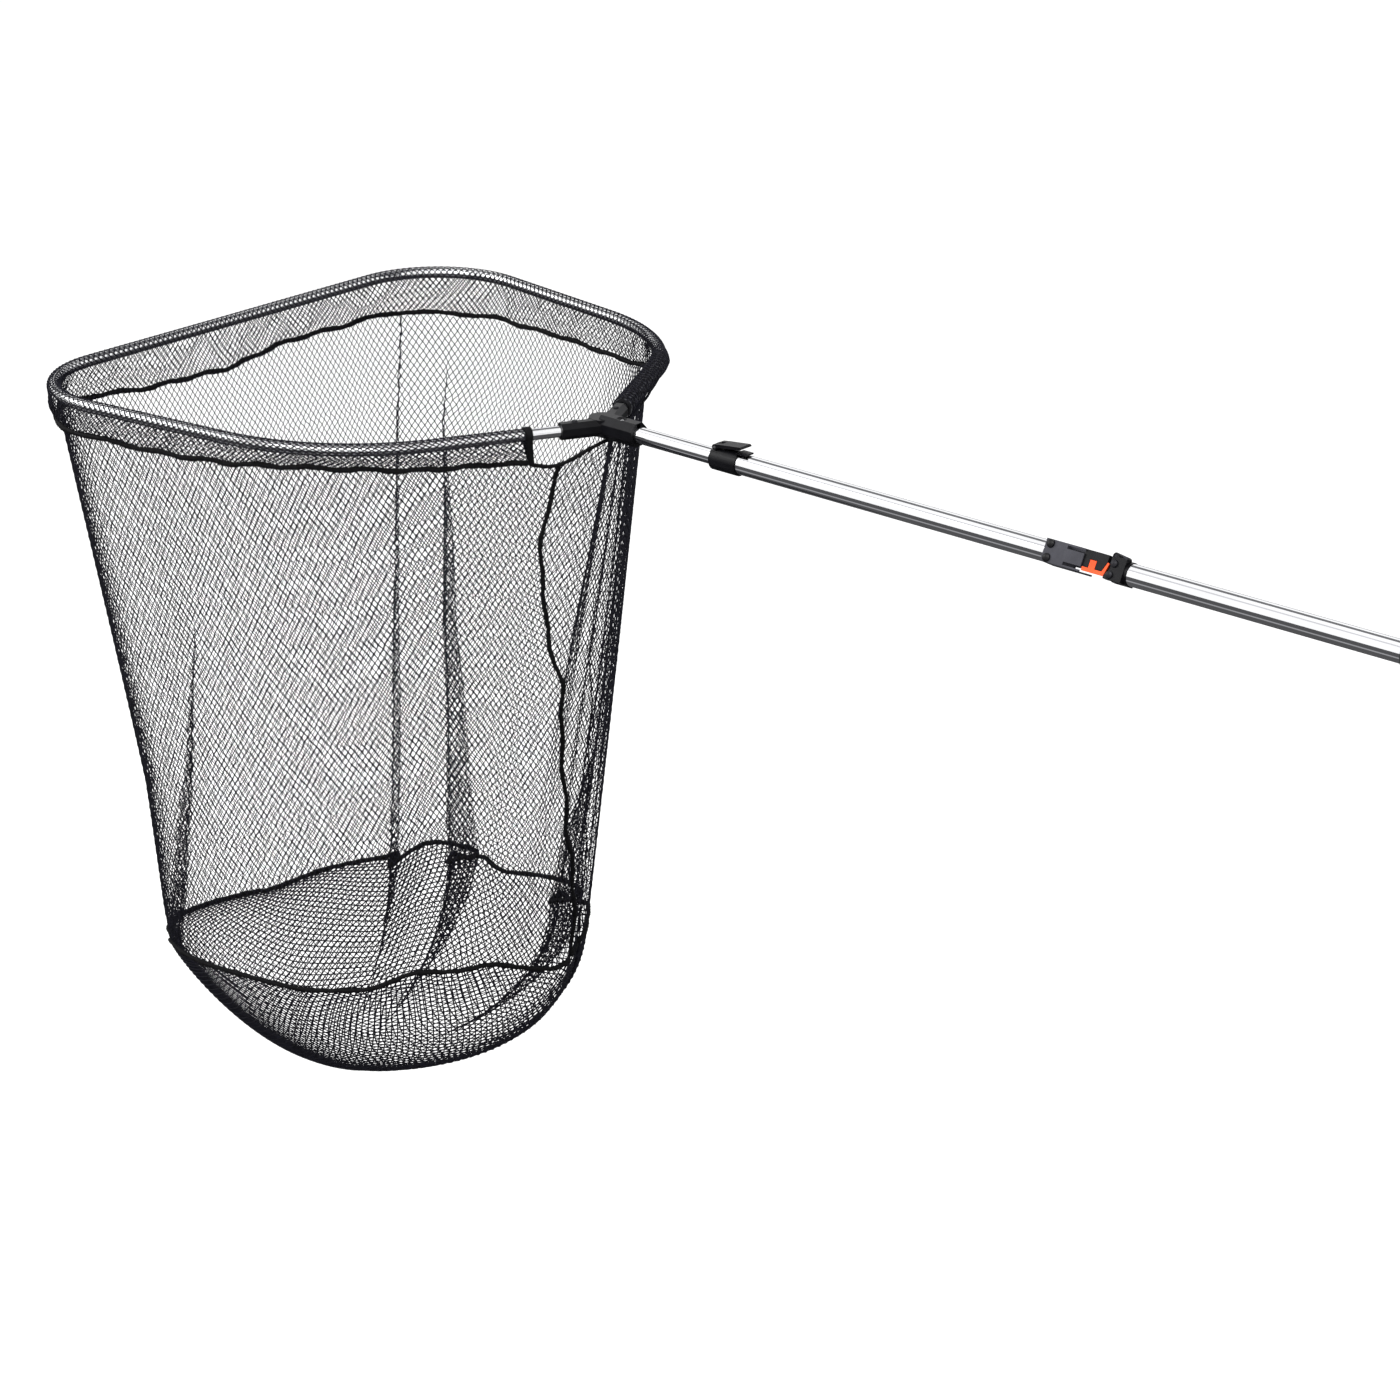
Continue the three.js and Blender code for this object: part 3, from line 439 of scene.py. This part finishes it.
# Knife pleats: where each lies, as (share, degrees), its width, as (share, millimetres), and the
# step inward between its layers, in millimetres.
PLEATS = [
    {"at": [(0.2, 306.5), (0.57, 300.5), (0.93, 289), (1.0, 285)],
     "width": [(0.08, 0), (0.3, 4), (0.57, 12), (0.93, 29), (1.0, 33)], "step": 9.0},
    {"at": [(0.2, 316), (0.6, 314.5), (1.0, 311)],
     "width": [(0.05, 1.5), (0.4, 4), (0.7, 9), (1.0, 12)], "step": 5.0},
    {"at": [(0.33, 82), (0.6, 73.5), (0.86, 63.5), (1.0, 52)],
     "width": [(0.3, 0), (0.6, 5), (1.0, 12)], "step": 5.0},
    {"at": [(0.6, 236), (1.0, 241)],
     "width": [(0.72, 0), (0.88, 8), (1.0, 24)], "step": 12.0},
    {"at": [(0.3, 192), (0.83, 212), (1.0, 215)], "width": [(0.2, 0), (0.6, 3), (1.0, 4)],
     "step": 4.0},
]


def curve_at(pairs, share):
    """A rounded curve through (share, value) pairs, read at one share."""
    keys, values = np.array(pairs, float).T
    near = share + np.linspace(-0.07, 0.07, 15)
    return float(np.average(np.interp(near, keys, values), weights=np.hanning(17)[1:-1]))


GIRTH_STEP = 0.006                     # radians between the points round the bag
SETTLE = 0.2                           # radians in which a pleat's inner layer comes out again
NO_PLEAT = 0.02                        # a narrower pleat is left out


def plain_run(start, stop, lift):
    """Angles between two pleats, and how far the wall stands inward there after the first."""
    angle = np.linspace(start, stop, max(12, int((start - stop) / GIRTH_STEP)))
    return angle, lift * np.clip(1 - (start - angle) / SETTLE, 0, 1)


def girth(share, height_of, scale=1.0, point=wall_point):
    """The closed line round the bag at one depth, from the side seam back to it, with its pleats.
    Gives the angles and the points. Scale narrows the pleats."""
    start = math.radians(curve_at(SIDE_SEAM, share))
    stops = []
    for pleat in PLEATS:
        width = curve_at(pleat["width"], share) * scale
        at = math.radians(curve_at(pleat["at"], share))
        while at > start:
            at -= 2 * math.pi
        if width > NO_PLEAT:
            step = pleat["step"] * min(1.0, width / 8)
            stops.append((at, width / RING_MEAN, step, min(1.0, width / 6)))
    stops.sort(reverse=True)
    angle, inset, cursor = [], [], start
    lift = 0.0
    for at, wide, step, tight in stops:
        run, inward = plain_run(cursor, at - wide, lift)
        angle.append(run)
        inset.append(inward)
        angle.append(np.linspace(at - wide, at, 14)[1:-1])
        inset.append(np.full(12, step))
        for tuck in range(4):
            angle.append(at - tight * np.array([0.016, 0.004]) * (tuck % 2))
            inset.append(np.array([1.1, 1.3]) * step + 0.8 * tight * tuck)
        cursor, lift = at, 2 * step
    run, inward = plain_run(cursor, start - 2 * math.pi, lift)
    angle.append(run)
    inset.append(inward)
    angle, inset = np.concatenate(angle), np.concatenate(inset)
    return angle, point(angle, height_of(angle) - 0.8 * inset * share ** 6, inset)


def run_of(points):
    """Distance along a path at each of its points."""
    return np.concatenate([[0], np.cumsum(np.linalg.norm(np.diff(points, axis=0), axis=1))])


def along(points, run, at):
    """Points of a path at the given distances along it."""
    return np.stack([np.interp(at, run, points[:, i]) for i in range(3)], -1)


# ---- meshes ------------------------------------------------------------------------------


def new_piece(name, points, faces, material, body="head"):
    """A mesh from arrays: points in millimetres from the yoke, and faces of four corners."""
    points = (np.asarray(points, float) + [YOKE_X, 0, 0]) * MM
    faces = np.asarray(faces, np.int32)
    mesh = bpy.data.meshes.new(name)
    mesh.vertices.add(len(points))
    mesh.vertices.foreach_set("co", points.astype(np.float32).ravel())
    mesh.loops.add(faces.size)
    mesh.loops.foreach_set("vertex_index", faces.ravel())
    mesh.polygons.add(len(faces))
    mesh.polygons.foreach_set("loop_start", np.arange(0, faces.size, 4, dtype=np.int32))
    mesh.polygons.foreach_set("use_smooth", np.full(len(faces), True))
    mesh.update(calc_edges=True)
    mesh.validate()
    mesh.materials.append(material)
    piece = bpy.data.objects.new(name, mesh)
    bpy.context.scene.collection.objects.link(piece)
    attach(piece, body)
    return piece


def unit(v):
    return v / np.maximum(np.linalg.norm(v, axis=-1, keepdims=True), 1e-9)


def tube_faces(rings, sides):
    """Faces between rings of points, each ring joined to the next."""
    first = np.arange(rings - 1)[:, None] * sides
    q = np.arange(sides)[None, :]
    q1 = (q + 1) % sides
    corners = [first + q, first + q1, first + sides + q1, first + sides + q]
    return np.stack(corners, -1).reshape(-1, 4)


def tube_caps(rings, sides):
    """Faces that close the first and the last ring."""
    end = (rings - 1) * sides
    caps = []
    for k in range(1, sides // 2):
        caps.append([k, k - 1, sides - k, sides - k - 1])
        caps.append([end + k - 1, end + k, end + sides - k - 1, end + sides - k])
    return np.array(caps)


SHORTEST = 0.8                         # strands shorter than this are left out, in millimetres
CROSSING = 0.45                        # how far the two families stand apart, in strand radii


def netting(name, grid, inside, radius, pieces=1):
    """Diamond mesh on a grid of points: two families of strands run through its nodes.
    Nodes lie where row and column are both even or both odd. Strands end where inside ends."""
    rows, columns = inside.shape
    d_row = np.gradient(grid, axis=0)
    d_column = np.gradient(grid, axis=1)
    normal = unit(np.cross(d_column, d_row))
    made = []
    row, column = np.meshgrid(np.arange(rows), np.arange(columns), indexing="ij")
    even = (row + column) % 2 == 0
    bounds = np.linspace(0, columns, pieces + 1).astype(int)
    for part in range(pieces):
        points, faces, base = [], [], 0
        for lean in (1, -1):
            j, k = np.nonzero(even[:-1])
            ok = (k + lean >= 0) & (k + lean < columns) & (k >= bounds[part]) & (k < bounds[part + 1])
            j, k = j[ok], k[ok]
            ok = inside[j, k] | inside[j + 1, k + lean]
            j, k = j[ok], k[ok]
            step = np.linalg.norm(grid[j + 1, k + lean] - grid[j, k], axis=-1)
            j, k = j[step > SHORTEST], k[step > SHORTEST]
            first, last = j * columns + k, (j + 1) * columns + k + lean
            used, index = np.unique(np.concatenate([first, last]), return_inverse=True)
            uj, uk = used // columns, used % columns
            up_j, up_k = np.maximum(uj - 1, 0), np.clip(uk - lean, 0, columns - 1)
            down_j, down_k = np.minimum(uj + 1, rows - 1), np.clip(uk + lean, 0, columns - 1)
            tangent = unit(grid[down_j, down_k] - grid[up_j, up_k])
            n = unit(normal[uj, uk])
            side = unit(np.cross(n, tangent))
            centre = grid[uj, uk] + n * radius * CROSSING * lean
            corners = ((1, 0), (0, 1), (-1, 0), (0, -1))
            ring = [centre + radius * (a * side + b * n) for a, b in corners]
            points.append(np.stack(ring, 1).reshape(-1, 3))
            a, b = index[:len(first)] * 4 + base, index[len(first):] * 4 + base
            for q in range(4):
                q1 = (q + 1) % 4
                faces.append(np.stack([a + q, a + q1, b + q1, b + q], 1))
            heads = np.setdiff1d(a, b)
            tails = np.setdiff1d(b, a)
            faces.append(heads[:, None] + np.array([3, 2, 1, 0]))
            faces.append(tails[:, None] + np.array([0, 1, 2, 3]))
            base += 4 * len(used)
        label = f"{name}_{part + 1}" if pieces > 1 else name
        made.append(new_piece(label, np.concatenate(points), np.concatenate(faces), NET))
    return made


CORD_STEP = 1.7                        # millimetres between a cord's rings
CORD_SIDES = 8


def cord(name, points, radius, lumps, pitch, seed=0.0):
    """A sewn edge or thick thread along a path, with the uneven ridges of its stitches."""
    run = run_of(points)
    count = max(8, int(run[-1] / CORD_STEP))
    at = np.linspace(0, run[-1], count)
    path = along(points, run, at)
    tangent = unit(np.gradient(path, axis=0))
    across = unit(np.cross(tangent, [0, 0, 1.0]) + 1e-6)
    upward = unit(np.cross(across, tangent))
    rings = []
    for q in range(CORD_SIDES):
        turn = 2 * math.pi * q / CORD_SIDES
        ridge = np.sin(2 * math.pi * at / pitch + turn * 2 + seed) * 0.6
        uneven = np.sin(at / 7.3 + seed * 3) * 0.35 + np.sin(at / 2.9 + turn + seed) * 0.4
        r = radius * (1 + lumps * (ridge + uneven))
        r = r * np.minimum(1, 0.35 + np.minimum(at, run[-1] - at) / radius / 2)
        rings.append(path + (across * math.cos(turn) + upward * math.sin(turn)) * r[:, None])
    points = np.stack(rings, 1).reshape(-1, 3)
    faces = np.concatenate([tube_faces(count, CORD_SIDES), tube_caps(count, CORD_SIDES)])
    return new_piece(name, points, faces, SEAM)


# ---- netting -----------------------------------------------------------------------------

CELL_W, ROW = 7.8, 5.1                 # a mesh's width, and half its height
STRAND_R = 0.54
BASE_STRAND_R = 0.76
BAND_STRAND_R = 0.5
WALL_DEPTH = 600                       # down the mesh, from the rim band to the base seam
WALL_CLOSING = 0.45                    # how much of the wall's narrowing its cells take up


def wall_netting():
    """The bag's side, in four pieces round it."""
    rows = int(round(WALL_DEPTH / ROW))
    shares = np.linspace(0, 1, rows + 1)
    lines, runs, middles = [], [], []
    for share in shares:

        def height(angle, share=share):
            return wall_top(angle) * (1 - share) + ring_height(angle) * share

        angle, points = girth(share, height)
        run = run_of(points)
        lines.append(points)
        runs.append(run)
        middles.append(float(run[np.argmin(np.abs(angle))]))
    lengths = np.array([r[-1] for r in runs])
    cell = CELL_W * (lengths / lengths[0]) ** WALL_CLOSING
    near = np.array(middles) / cell
    far = (lengths - np.array(middles)) / cell
    k_near, k_far = int(near.max() * 2) + 1, int(far.max() * 2) + 1
    column = np.arange(-k_far, k_near + 1)
    grid = np.zeros((rows + 1, len(column), 3))
    inside = np.zeros((rows + 1, len(column)), bool)
    for j in range(rows + 1):
        u = column / 2
        inside[j] = (u <= near[j]) & (u >= -far[j])
        u = np.clip(u, -far[j], near[j])
        grid[j] = along(lines[j], runs[j], middles[j] - u * cell[j])
    grid[1:-1, :, :2] += 0.25 * np.sin(np.arange(len(column)) * 2.399)[None, :, None]
    return netting("net_wall_mesh", grid, inside, STRAND_R, pieces=4)


DOME_POWER, SLOPE_POWER = 2.3, 1.7     # a full round bottom, and a slack one
BOTTOM = np.array([RING_X + 34, RING_Y + 34, BASE_Z - 16])
BASE_BLANK = 285.0                     # radius of the base's mesh, laid flat
BOWL_R = 200.0                         # a typical radius, to space the base's levels evenly


def bowl_point(angle, height, inset, depth):
    """The base: depth 0 at its seam and 1 at the bottom."""
    rim = wall_point(angle, height, inset)
    cone = 0.85 * (0.5 + 0.5 * np.cos(angle - RING_TURN))
    rho = 1 - depth
    dome = math.sqrt(max(0.0, 1 - rho ** DOME_POWER))
    slope = 1 - rho ** SLOPE_POWER
    fall = dome * (1 - cone) + slope * cone
    flat = BOTTOM[None, :2] + (rim[:, :2] - BOTTOM[None, :2]) * rho
    z = rim[:, 2] + (BOTTOM[2] - rim[:, 2]) * fall
    return np.column_stack([flat, z])


def base_netting():
    """The bag's base: a flat round of mesh laid over a bowl."""
    levels, samples = 40, 720
    surface = np.zeros((levels + 1, samples + 1, 3))
    trial = np.linspace(0, 1, 400)
    bowl = (RING_Z - BASE_Z) * np.sqrt(1 - trial ** DOME_POWER)
    arc = run_of(np.column_stack([BOWL_R * trial, bowl, 0 * trial]))
    for level in range(levels + 1):
        rho = float(np.interp(level / levels, arc / arc[-1], trial))

        def point(angle, height, inset, rho=rho):
            return bowl_point(angle, height, inset * rho, 1 - rho)

        _, points = girth(1.0, ring_height, rho ** 3, point)
        run = run_of(points)
        surface[level] = along(points, run, np.linspace(0, max(run[-1], 1e-6), samples + 1))
    half = int(BASE_BLANK / ROW) + 1
    wide = int(BASE_BLANK / (CELL_W / 2)) + 1
    rows = np.arange(-half, half + 1) * ROW
    columns = np.arange(-wide, wide + 1) * CELL_W / 2
    y, x = np.meshgrid(rows, columns, indexing="ij")
    reach = np.hypot(x, y) / BASE_BLANK
    inside = reach <= 1
    level = np.clip(reach, 0, 1) * levels
    sample = np.mod(np.arctan2(y, x) / (2 * math.pi), 1) * samples
    l0 = np.minimum(level.astype(int), levels - 1)
    s0 = np.minimum(sample.astype(int), samples - 1)
    lf, sf = (level - l0)[..., None], (sample - s0)[..., None]
    grid = ((surface[l0, s0] * (1 - sf) + surface[l0, s0 + 1] * sf) * (1 - lf)
            + (surface[l0 + 1, s0] * (1 - sf) + surface[l0 + 1, s0 + 1] * sf) * lf)
    return netting("net_base_mesh", grid, inside, BASE_STRAND_R)


def band_section(run, across):
    """Across the folded rim band: from its outer lower edge over the tube to the inner one."""
    point, outward = hoop_at(run)
    angle = np.arctan2(point[..., 1], point[..., 0] - BAG_X)
    drop = seam_drop(angle)
    loose = np.clip((run - BAND_END + 25) / 40, 0, 1)
    radius = HOOP_TUBE_R + 1.0 + 3.9 * loose
    leaf = drop - 3
    wrap = math.pi * radius
    total = 2 * leaf + wrap
    t = across * total
    outer, inner = t < leaf, t > leaf + wrap
    turn = np.clip((t - leaf) / radius, 0, math.pi)
    fall = np.where(outer, leaf - t, np.where(inner, t - leaf - wrap, 0))
    pinch = (fall / leaf) ** 1.3
    side = np.cos(turn) * radius * (1 - 0.8 * pinch)
    wave = 1.6 * np.sin(run / 17 + across * 5) + 1.1 * np.sin(run / 6.1 + across * 11)
    side = side + wave * np.sin(math.pi * np.clip(fall / leaf, 0, 1))
    z = np.sin(turn) * radius - fall
    flat = point + outward * side[..., None]
    return np.concatenate([flat, z[..., None]], -1)


def band_netting():
    """The rim band's mesh, folded over the tube and on over the gathered mesh."""
    rows, cell = 26, 7.2
    columns = int((GATHER_END - BAND_START) / (cell / 2))
    run = np.linspace(BAND_START, GATHER_END, columns + 1)
    across = np.linspace(0, 1, rows + 1)
    t, s = np.meshgrid(across, run, indexing="ij")
    s = np.clip(s + 2.0 * np.sin(t * 9 + s / 90), BAND_START, GATHER_END)
    low = np.abs(2 * t - 1) ** 1.5
    s = s - 8 * low * np.clip(1 - (s - BAND_START) / 60, 0, 1)
    grid = band_section(s, t)
    return netting("rim_band_mesh", grid, np.ones(grid.shape[:2], bool), BAND_STRAND_R)


def rim_seam():
    """Seam along the band's lower edge."""
    run = np.arange(BAND_START - 8, BAND_END + 4, 2.0)
    point, outward = hoop_at(run)
    angle = np.arctan2(point[:, 1], point[:, 0] - BAG_X)
    wobble = 1.2 * np.sin(run / 23.0) + 0.8 * np.sin(run / 9.7)
    path = np.column_stack([point + outward * wobble[:, None], -seam_drop(angle)])
    return cord("rim_seam", path, 2.9, 0.26, 5.5)


def base_seam():
    """Seam between wall and base."""
    _, points = girth(1.0, ring_height)
    return cord("base_seam", points, 2.8, 0.28, 5.2, 1.7)


def side_seam():
    """Seam down the wall, a little outside it."""
    count = 60
    path = []
    for share in np.linspace(0, 1, count):
        angle = np.array([math.radians(curve_at(SIDE_SEAM, share))])
        height = wall_top(angle) * (1 - share) + ring_height(angle) * share
        path.append(wall_point(angle, height, -1.0)[0])
    path = np.array(path)
    path[:, 1] += 1.5 * np.sin(np.arange(count) * 0.9)
    return cord("side_seam", path, 2.4, 0.3, 5.0, 0.6)


# Route of the mouth's free edge, below the yoke.
EDGE = np.array([
    [82.3, 76, -32], [79.5, 70, -34], [75.3, 61.4, -36.5], [69, 49, -37.5], [60, 32, -31],
    [51, 15, -21], [44, 1, -15.8], [46, -14, -15], [58, -34, -14], [71, -58, -12.5],
])


def smooth_path(points):
    """A rounded path along a few points."""
    t = np.linspace(0, 1, len(points))
    fine = np.linspace(0, 1, 80)
    path = np.stack([np.interp(fine, t, points[:, i]) for i in range(3)], -1)
    kernel = np.hanning(15)
    kernel /= kernel.sum()
    padded = np.concatenate([np.repeat(path[:1], 7, 0), path, np.repeat(path[-1:], 7, 0)])
    return np.stack([np.convolve(padded[:, i], kernel, "valid") for i in range(3)], -1)


# The strap's outline across: distance along the arm, and half its thickness, in millimetres.
STRAP_SECTION = [(84.3, -0.7), (85, -1.0), (91, -1.0), (91.7, -0.7),
                 (91.7, 0.7), (91, 1.0), (85, 1.0), (84.3, 0.7)]
STRAP_MIDDLE, STRAP_FOOT = 88, -34.0


def end_strap():
    """Woven tape folded round the tube where the rim band ends."""
    radius = HOOP_TUBE_R + 1.6
    turn = np.linspace(0, math.pi, 22)
    arc = np.column_stack([np.cos(turn) * radius, np.sin(turn) * radius])
    drop = np.linspace(0, 1, 12)[1:]
    outer = np.column_stack([radius - (radius - 1.0) * drop[::-1] ** 0.8, STRAP_FOOT * drop[::-1]])
    inner = np.column_stack([-radius + (radius - 1.0) * drop ** 0.8, STRAP_FOOT * drop])
    line = np.concatenate([outer, arc, inner])
    tangent = unit(np.gradient(line, axis=0))
    normal = np.column_stack([tangent[:, 1], -tangent[:, 0]])
    along_arm = np.array([math.cos(ARM), math.sin(ARM), 0])
    outward = np.array([-math.sin(ARM), math.cos(ARM), 0])
    hang = np.clip(line[:, 1] / STRAP_FOOT, 0, 1)
    lean = -5.0 * hang ** 1.5
    points = []
    for x, thick in STRAP_SECTION:
        flat = line + normal * thick
        narrow = STRAP_MIDDLE + (x - STRAP_MIDDLE) * (1 - 0.25 * hang)
        points.append(np.array([APEX_X, 0, 0]) + along_arm * (narrow + lean)[:, None]
                      + outward * flat[:, :1] + np.array([0, 0, 1.0]) * flat[:, 1:])
    points = np.stack(points, 1).reshape(-1, 3)
    rings, sides = len(line), len(STRAP_SECTION)
    faces = np.concatenate([tube_faces(rings, sides), tube_caps(rings, sides)])
    return new_piece("end_strap", points, faces, SEAM)


HIGHLIGHT_FROM = 1.55                      # faces whose two rib heights add up to more get the pale painted highlight


def gathered_mesh():
    """Mesh bunched on the far arm: a sleeve of tight ribs, their crests pale with a painted highlight.
    """
    run = np.arange(BAND_END - 3, GATHER_END, 1.1)
    point, outward = hoop_at(run)
    sides = 28
    turn = np.arange(sides + 1) * 2 * math.pi / sides
    r, a = np.meshgrid(run, turn, indexing="ij")
    near = np.clip((r - BAND_END) / (GATHER_END - BAND_END), 0, 1)
    ribs = np.abs(np.sin(r / 2.4 + 0.9 * np.sin(r / 11) + 0.3 * np.sin(a * 3)))
    reach = HOOP_TUBE_R + 0.8 + 0.9 * near + (1.8 + 0.8 * near) * ribs + 0.35 * np.sin(a * 5 + r / 4)
    flat = point[:, None] + outward[:, None] * (np.cos(a) * reach)[..., None]
    grid = np.concatenate([flat, (np.sin(a) * reach)[..., None]], -1)
    points = grid[:, :-1].reshape(-1, 3)
    rows = len(run)
    faces = tube_faces(rows, sides)[:, [0, 3, 2, 1]]
    inner = grid[[0, -1], :-1].copy()
    bore = np.stack([np.cos(turn[:-1]), np.sin(turn[:-1])], -1) * (HOOP_TUBE_R + 0.35)
    for e in (0, -1):
        inner[e, :, :2] = point[e] + outward[e] * bore[:, :1]
        inner[e, :, 2] = bore[:, 1]
    count = len(points)
    points = np.concatenate([points, inner.reshape(-1, 3)])
    first = np.arange(sides)
    last = (rows - 1) * sides + first
    begin = count + first
    end = begin + sides
    nxt = np.roll(first, -1)
    faces = np.concatenate([
        faces,
        np.stack([first, first[nxt], begin[nxt], begin], 1),
        np.stack([last[nxt], last, end, end[nxt]], 1),
        np.stack([begin, begin[nxt], end[nxt], end], 1),
    ])
    sleeve = new_piece("gathered_core", points, faces, SLEEVE)
    # Faces on the rib crests get the pale colour, a painted highlight.
    sleeve.data.materials.append(SLEEVE_HIGHLIGHT)
    ridge = np.zeros(len(faces), np.int32)
    ridge[:(rows - 1) * sides] = (ribs[:-1, :-1] + ribs[1:, :-1] > HIGHLIGHT_FROM).ravel()
    sleeve.data.polygons.foreach_set("material_index", ridge)
    return sleeve


wall = wall_netting()
base = base_netting()
band = band_netting()
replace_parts(wall[0], "net_wall")
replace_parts(base[0], "net_base")
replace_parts(band[0], "rim_band")
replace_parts(rim_seam(), "rim_seam_tape")
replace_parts(base_seam(), "base_seam_tape")
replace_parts(side_seam(), "side_seam_tape")
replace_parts(cord("mouth_edge", smooth_path(EDGE), 2.1, 0.2, 5.0, 2.2), "edge_cord")
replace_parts(end_strap(), "end_binding")
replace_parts(gathered_mesh(), "gathered_sleeve")

# ---- floor and light ---------------------------------------------------------------------

FLOOR_HALF, FLOOR_Z = 400, -1.15
CARD_REACH = 12

floor_corners = [(x * FLOOR_HALF, y * FLOOR_HALF, 0) for x, y in ((-1, -1), (1, -1), (1, 1), (-1, 1))]
floor_mesh = bpy.data.meshes.new("floor")
floor_mesh.from_pydata(floor_corners, [], [(0, 1, 2, 3)])
floor = bpy.data.objects.new("floor", floor_mesh)
floor.location.z = FLOOR_Z
bpy.context.scene.collection.objects.link(floor)
paint = Shader("floor_paint", Base_Color=(0.93, 0.93, 0.93, 1), Roughness=0.9, Specular_IOR_Level=0)
floor_mesh.materials.append(paint.material)

world = bpy.data.worlds.new("studio")
world.use_nodes = True
sky = world.node_tree.nodes["Background"]
sky.inputs["Color"].default_value = (1, 1, 1, 1)
sky.inputs["Strength"].default_value = 1.08
bpy.context.scene.world = world
bpy.context.scene.view_settings.view_transform = "Standard"


def area_light(name, place, target, size, power):
    data = bpy.data.lights.new(name, "AREA")
    data.shape = "RECTANGLE"
    data.size, data.size_y = size
    data.energy = power
    light = bpy.data.objects.new(name, data)
    light.location = place
    light.rotation_euler = (Vector(target) - Vector(place)).to_track_quat("-Z", "Y").to_euler()
    bpy.context.scene.collection.objects.link(light)


def card(name, y, z, width, tone):
    """A strip along the handle, at y and z, that shows only in reflections."""
    mesh = bpy.data.meshes.new(name)
    across = Vector((0, z, -y)).normalized() * width / 2
    middle = Vector((0, y, z))
    reach = Vector((CARD_REACH, 0, 0))
    mesh.from_pydata([middle - reach - across, middle + reach - across,
                      middle + reach + across, middle - reach + across], [], [(0, 1, 2, 3)])
    strip = bpy.data.objects.new(name, mesh)
    paper = Shader(name + "_paper", Base_Color=(0, 0, 0, 1), Roughness=1.0, Specular_IOR_Level=0,
                   Emission_Color=(tone, tone, tone * 1.04, 1), Emission_Strength=1.0)
    mesh.materials.append(paper.material)
    bpy.context.scene.collection.objects.link(strip)
    for ray in ("camera", "diffuse", "shadow", "transmission", "volume_scatter"):
        setattr(strip, "visible_" + ray, False)


card("dark_low", 0.0, -1.14, 60.0, 0.085)
card("line_low", 0.85, -0.95, 0.3, 0.32)
card("line_high", -1.25, 2.17, 1.3, 0.18)
card("line_pale", 1.0, 2.0, 0.5, 0.68)
card("edge_grey", -3.0, 0.5, 0.9, 0.55)
area_light("key", (0.2, 2.4, 3.2), (0.7, 0, -0.3), (3.5, 2.0), 110)
area_light("fill", (3.6, 1.6, 1.8), (0.8, 0, -0.3), (2.5, 2.0), 45)
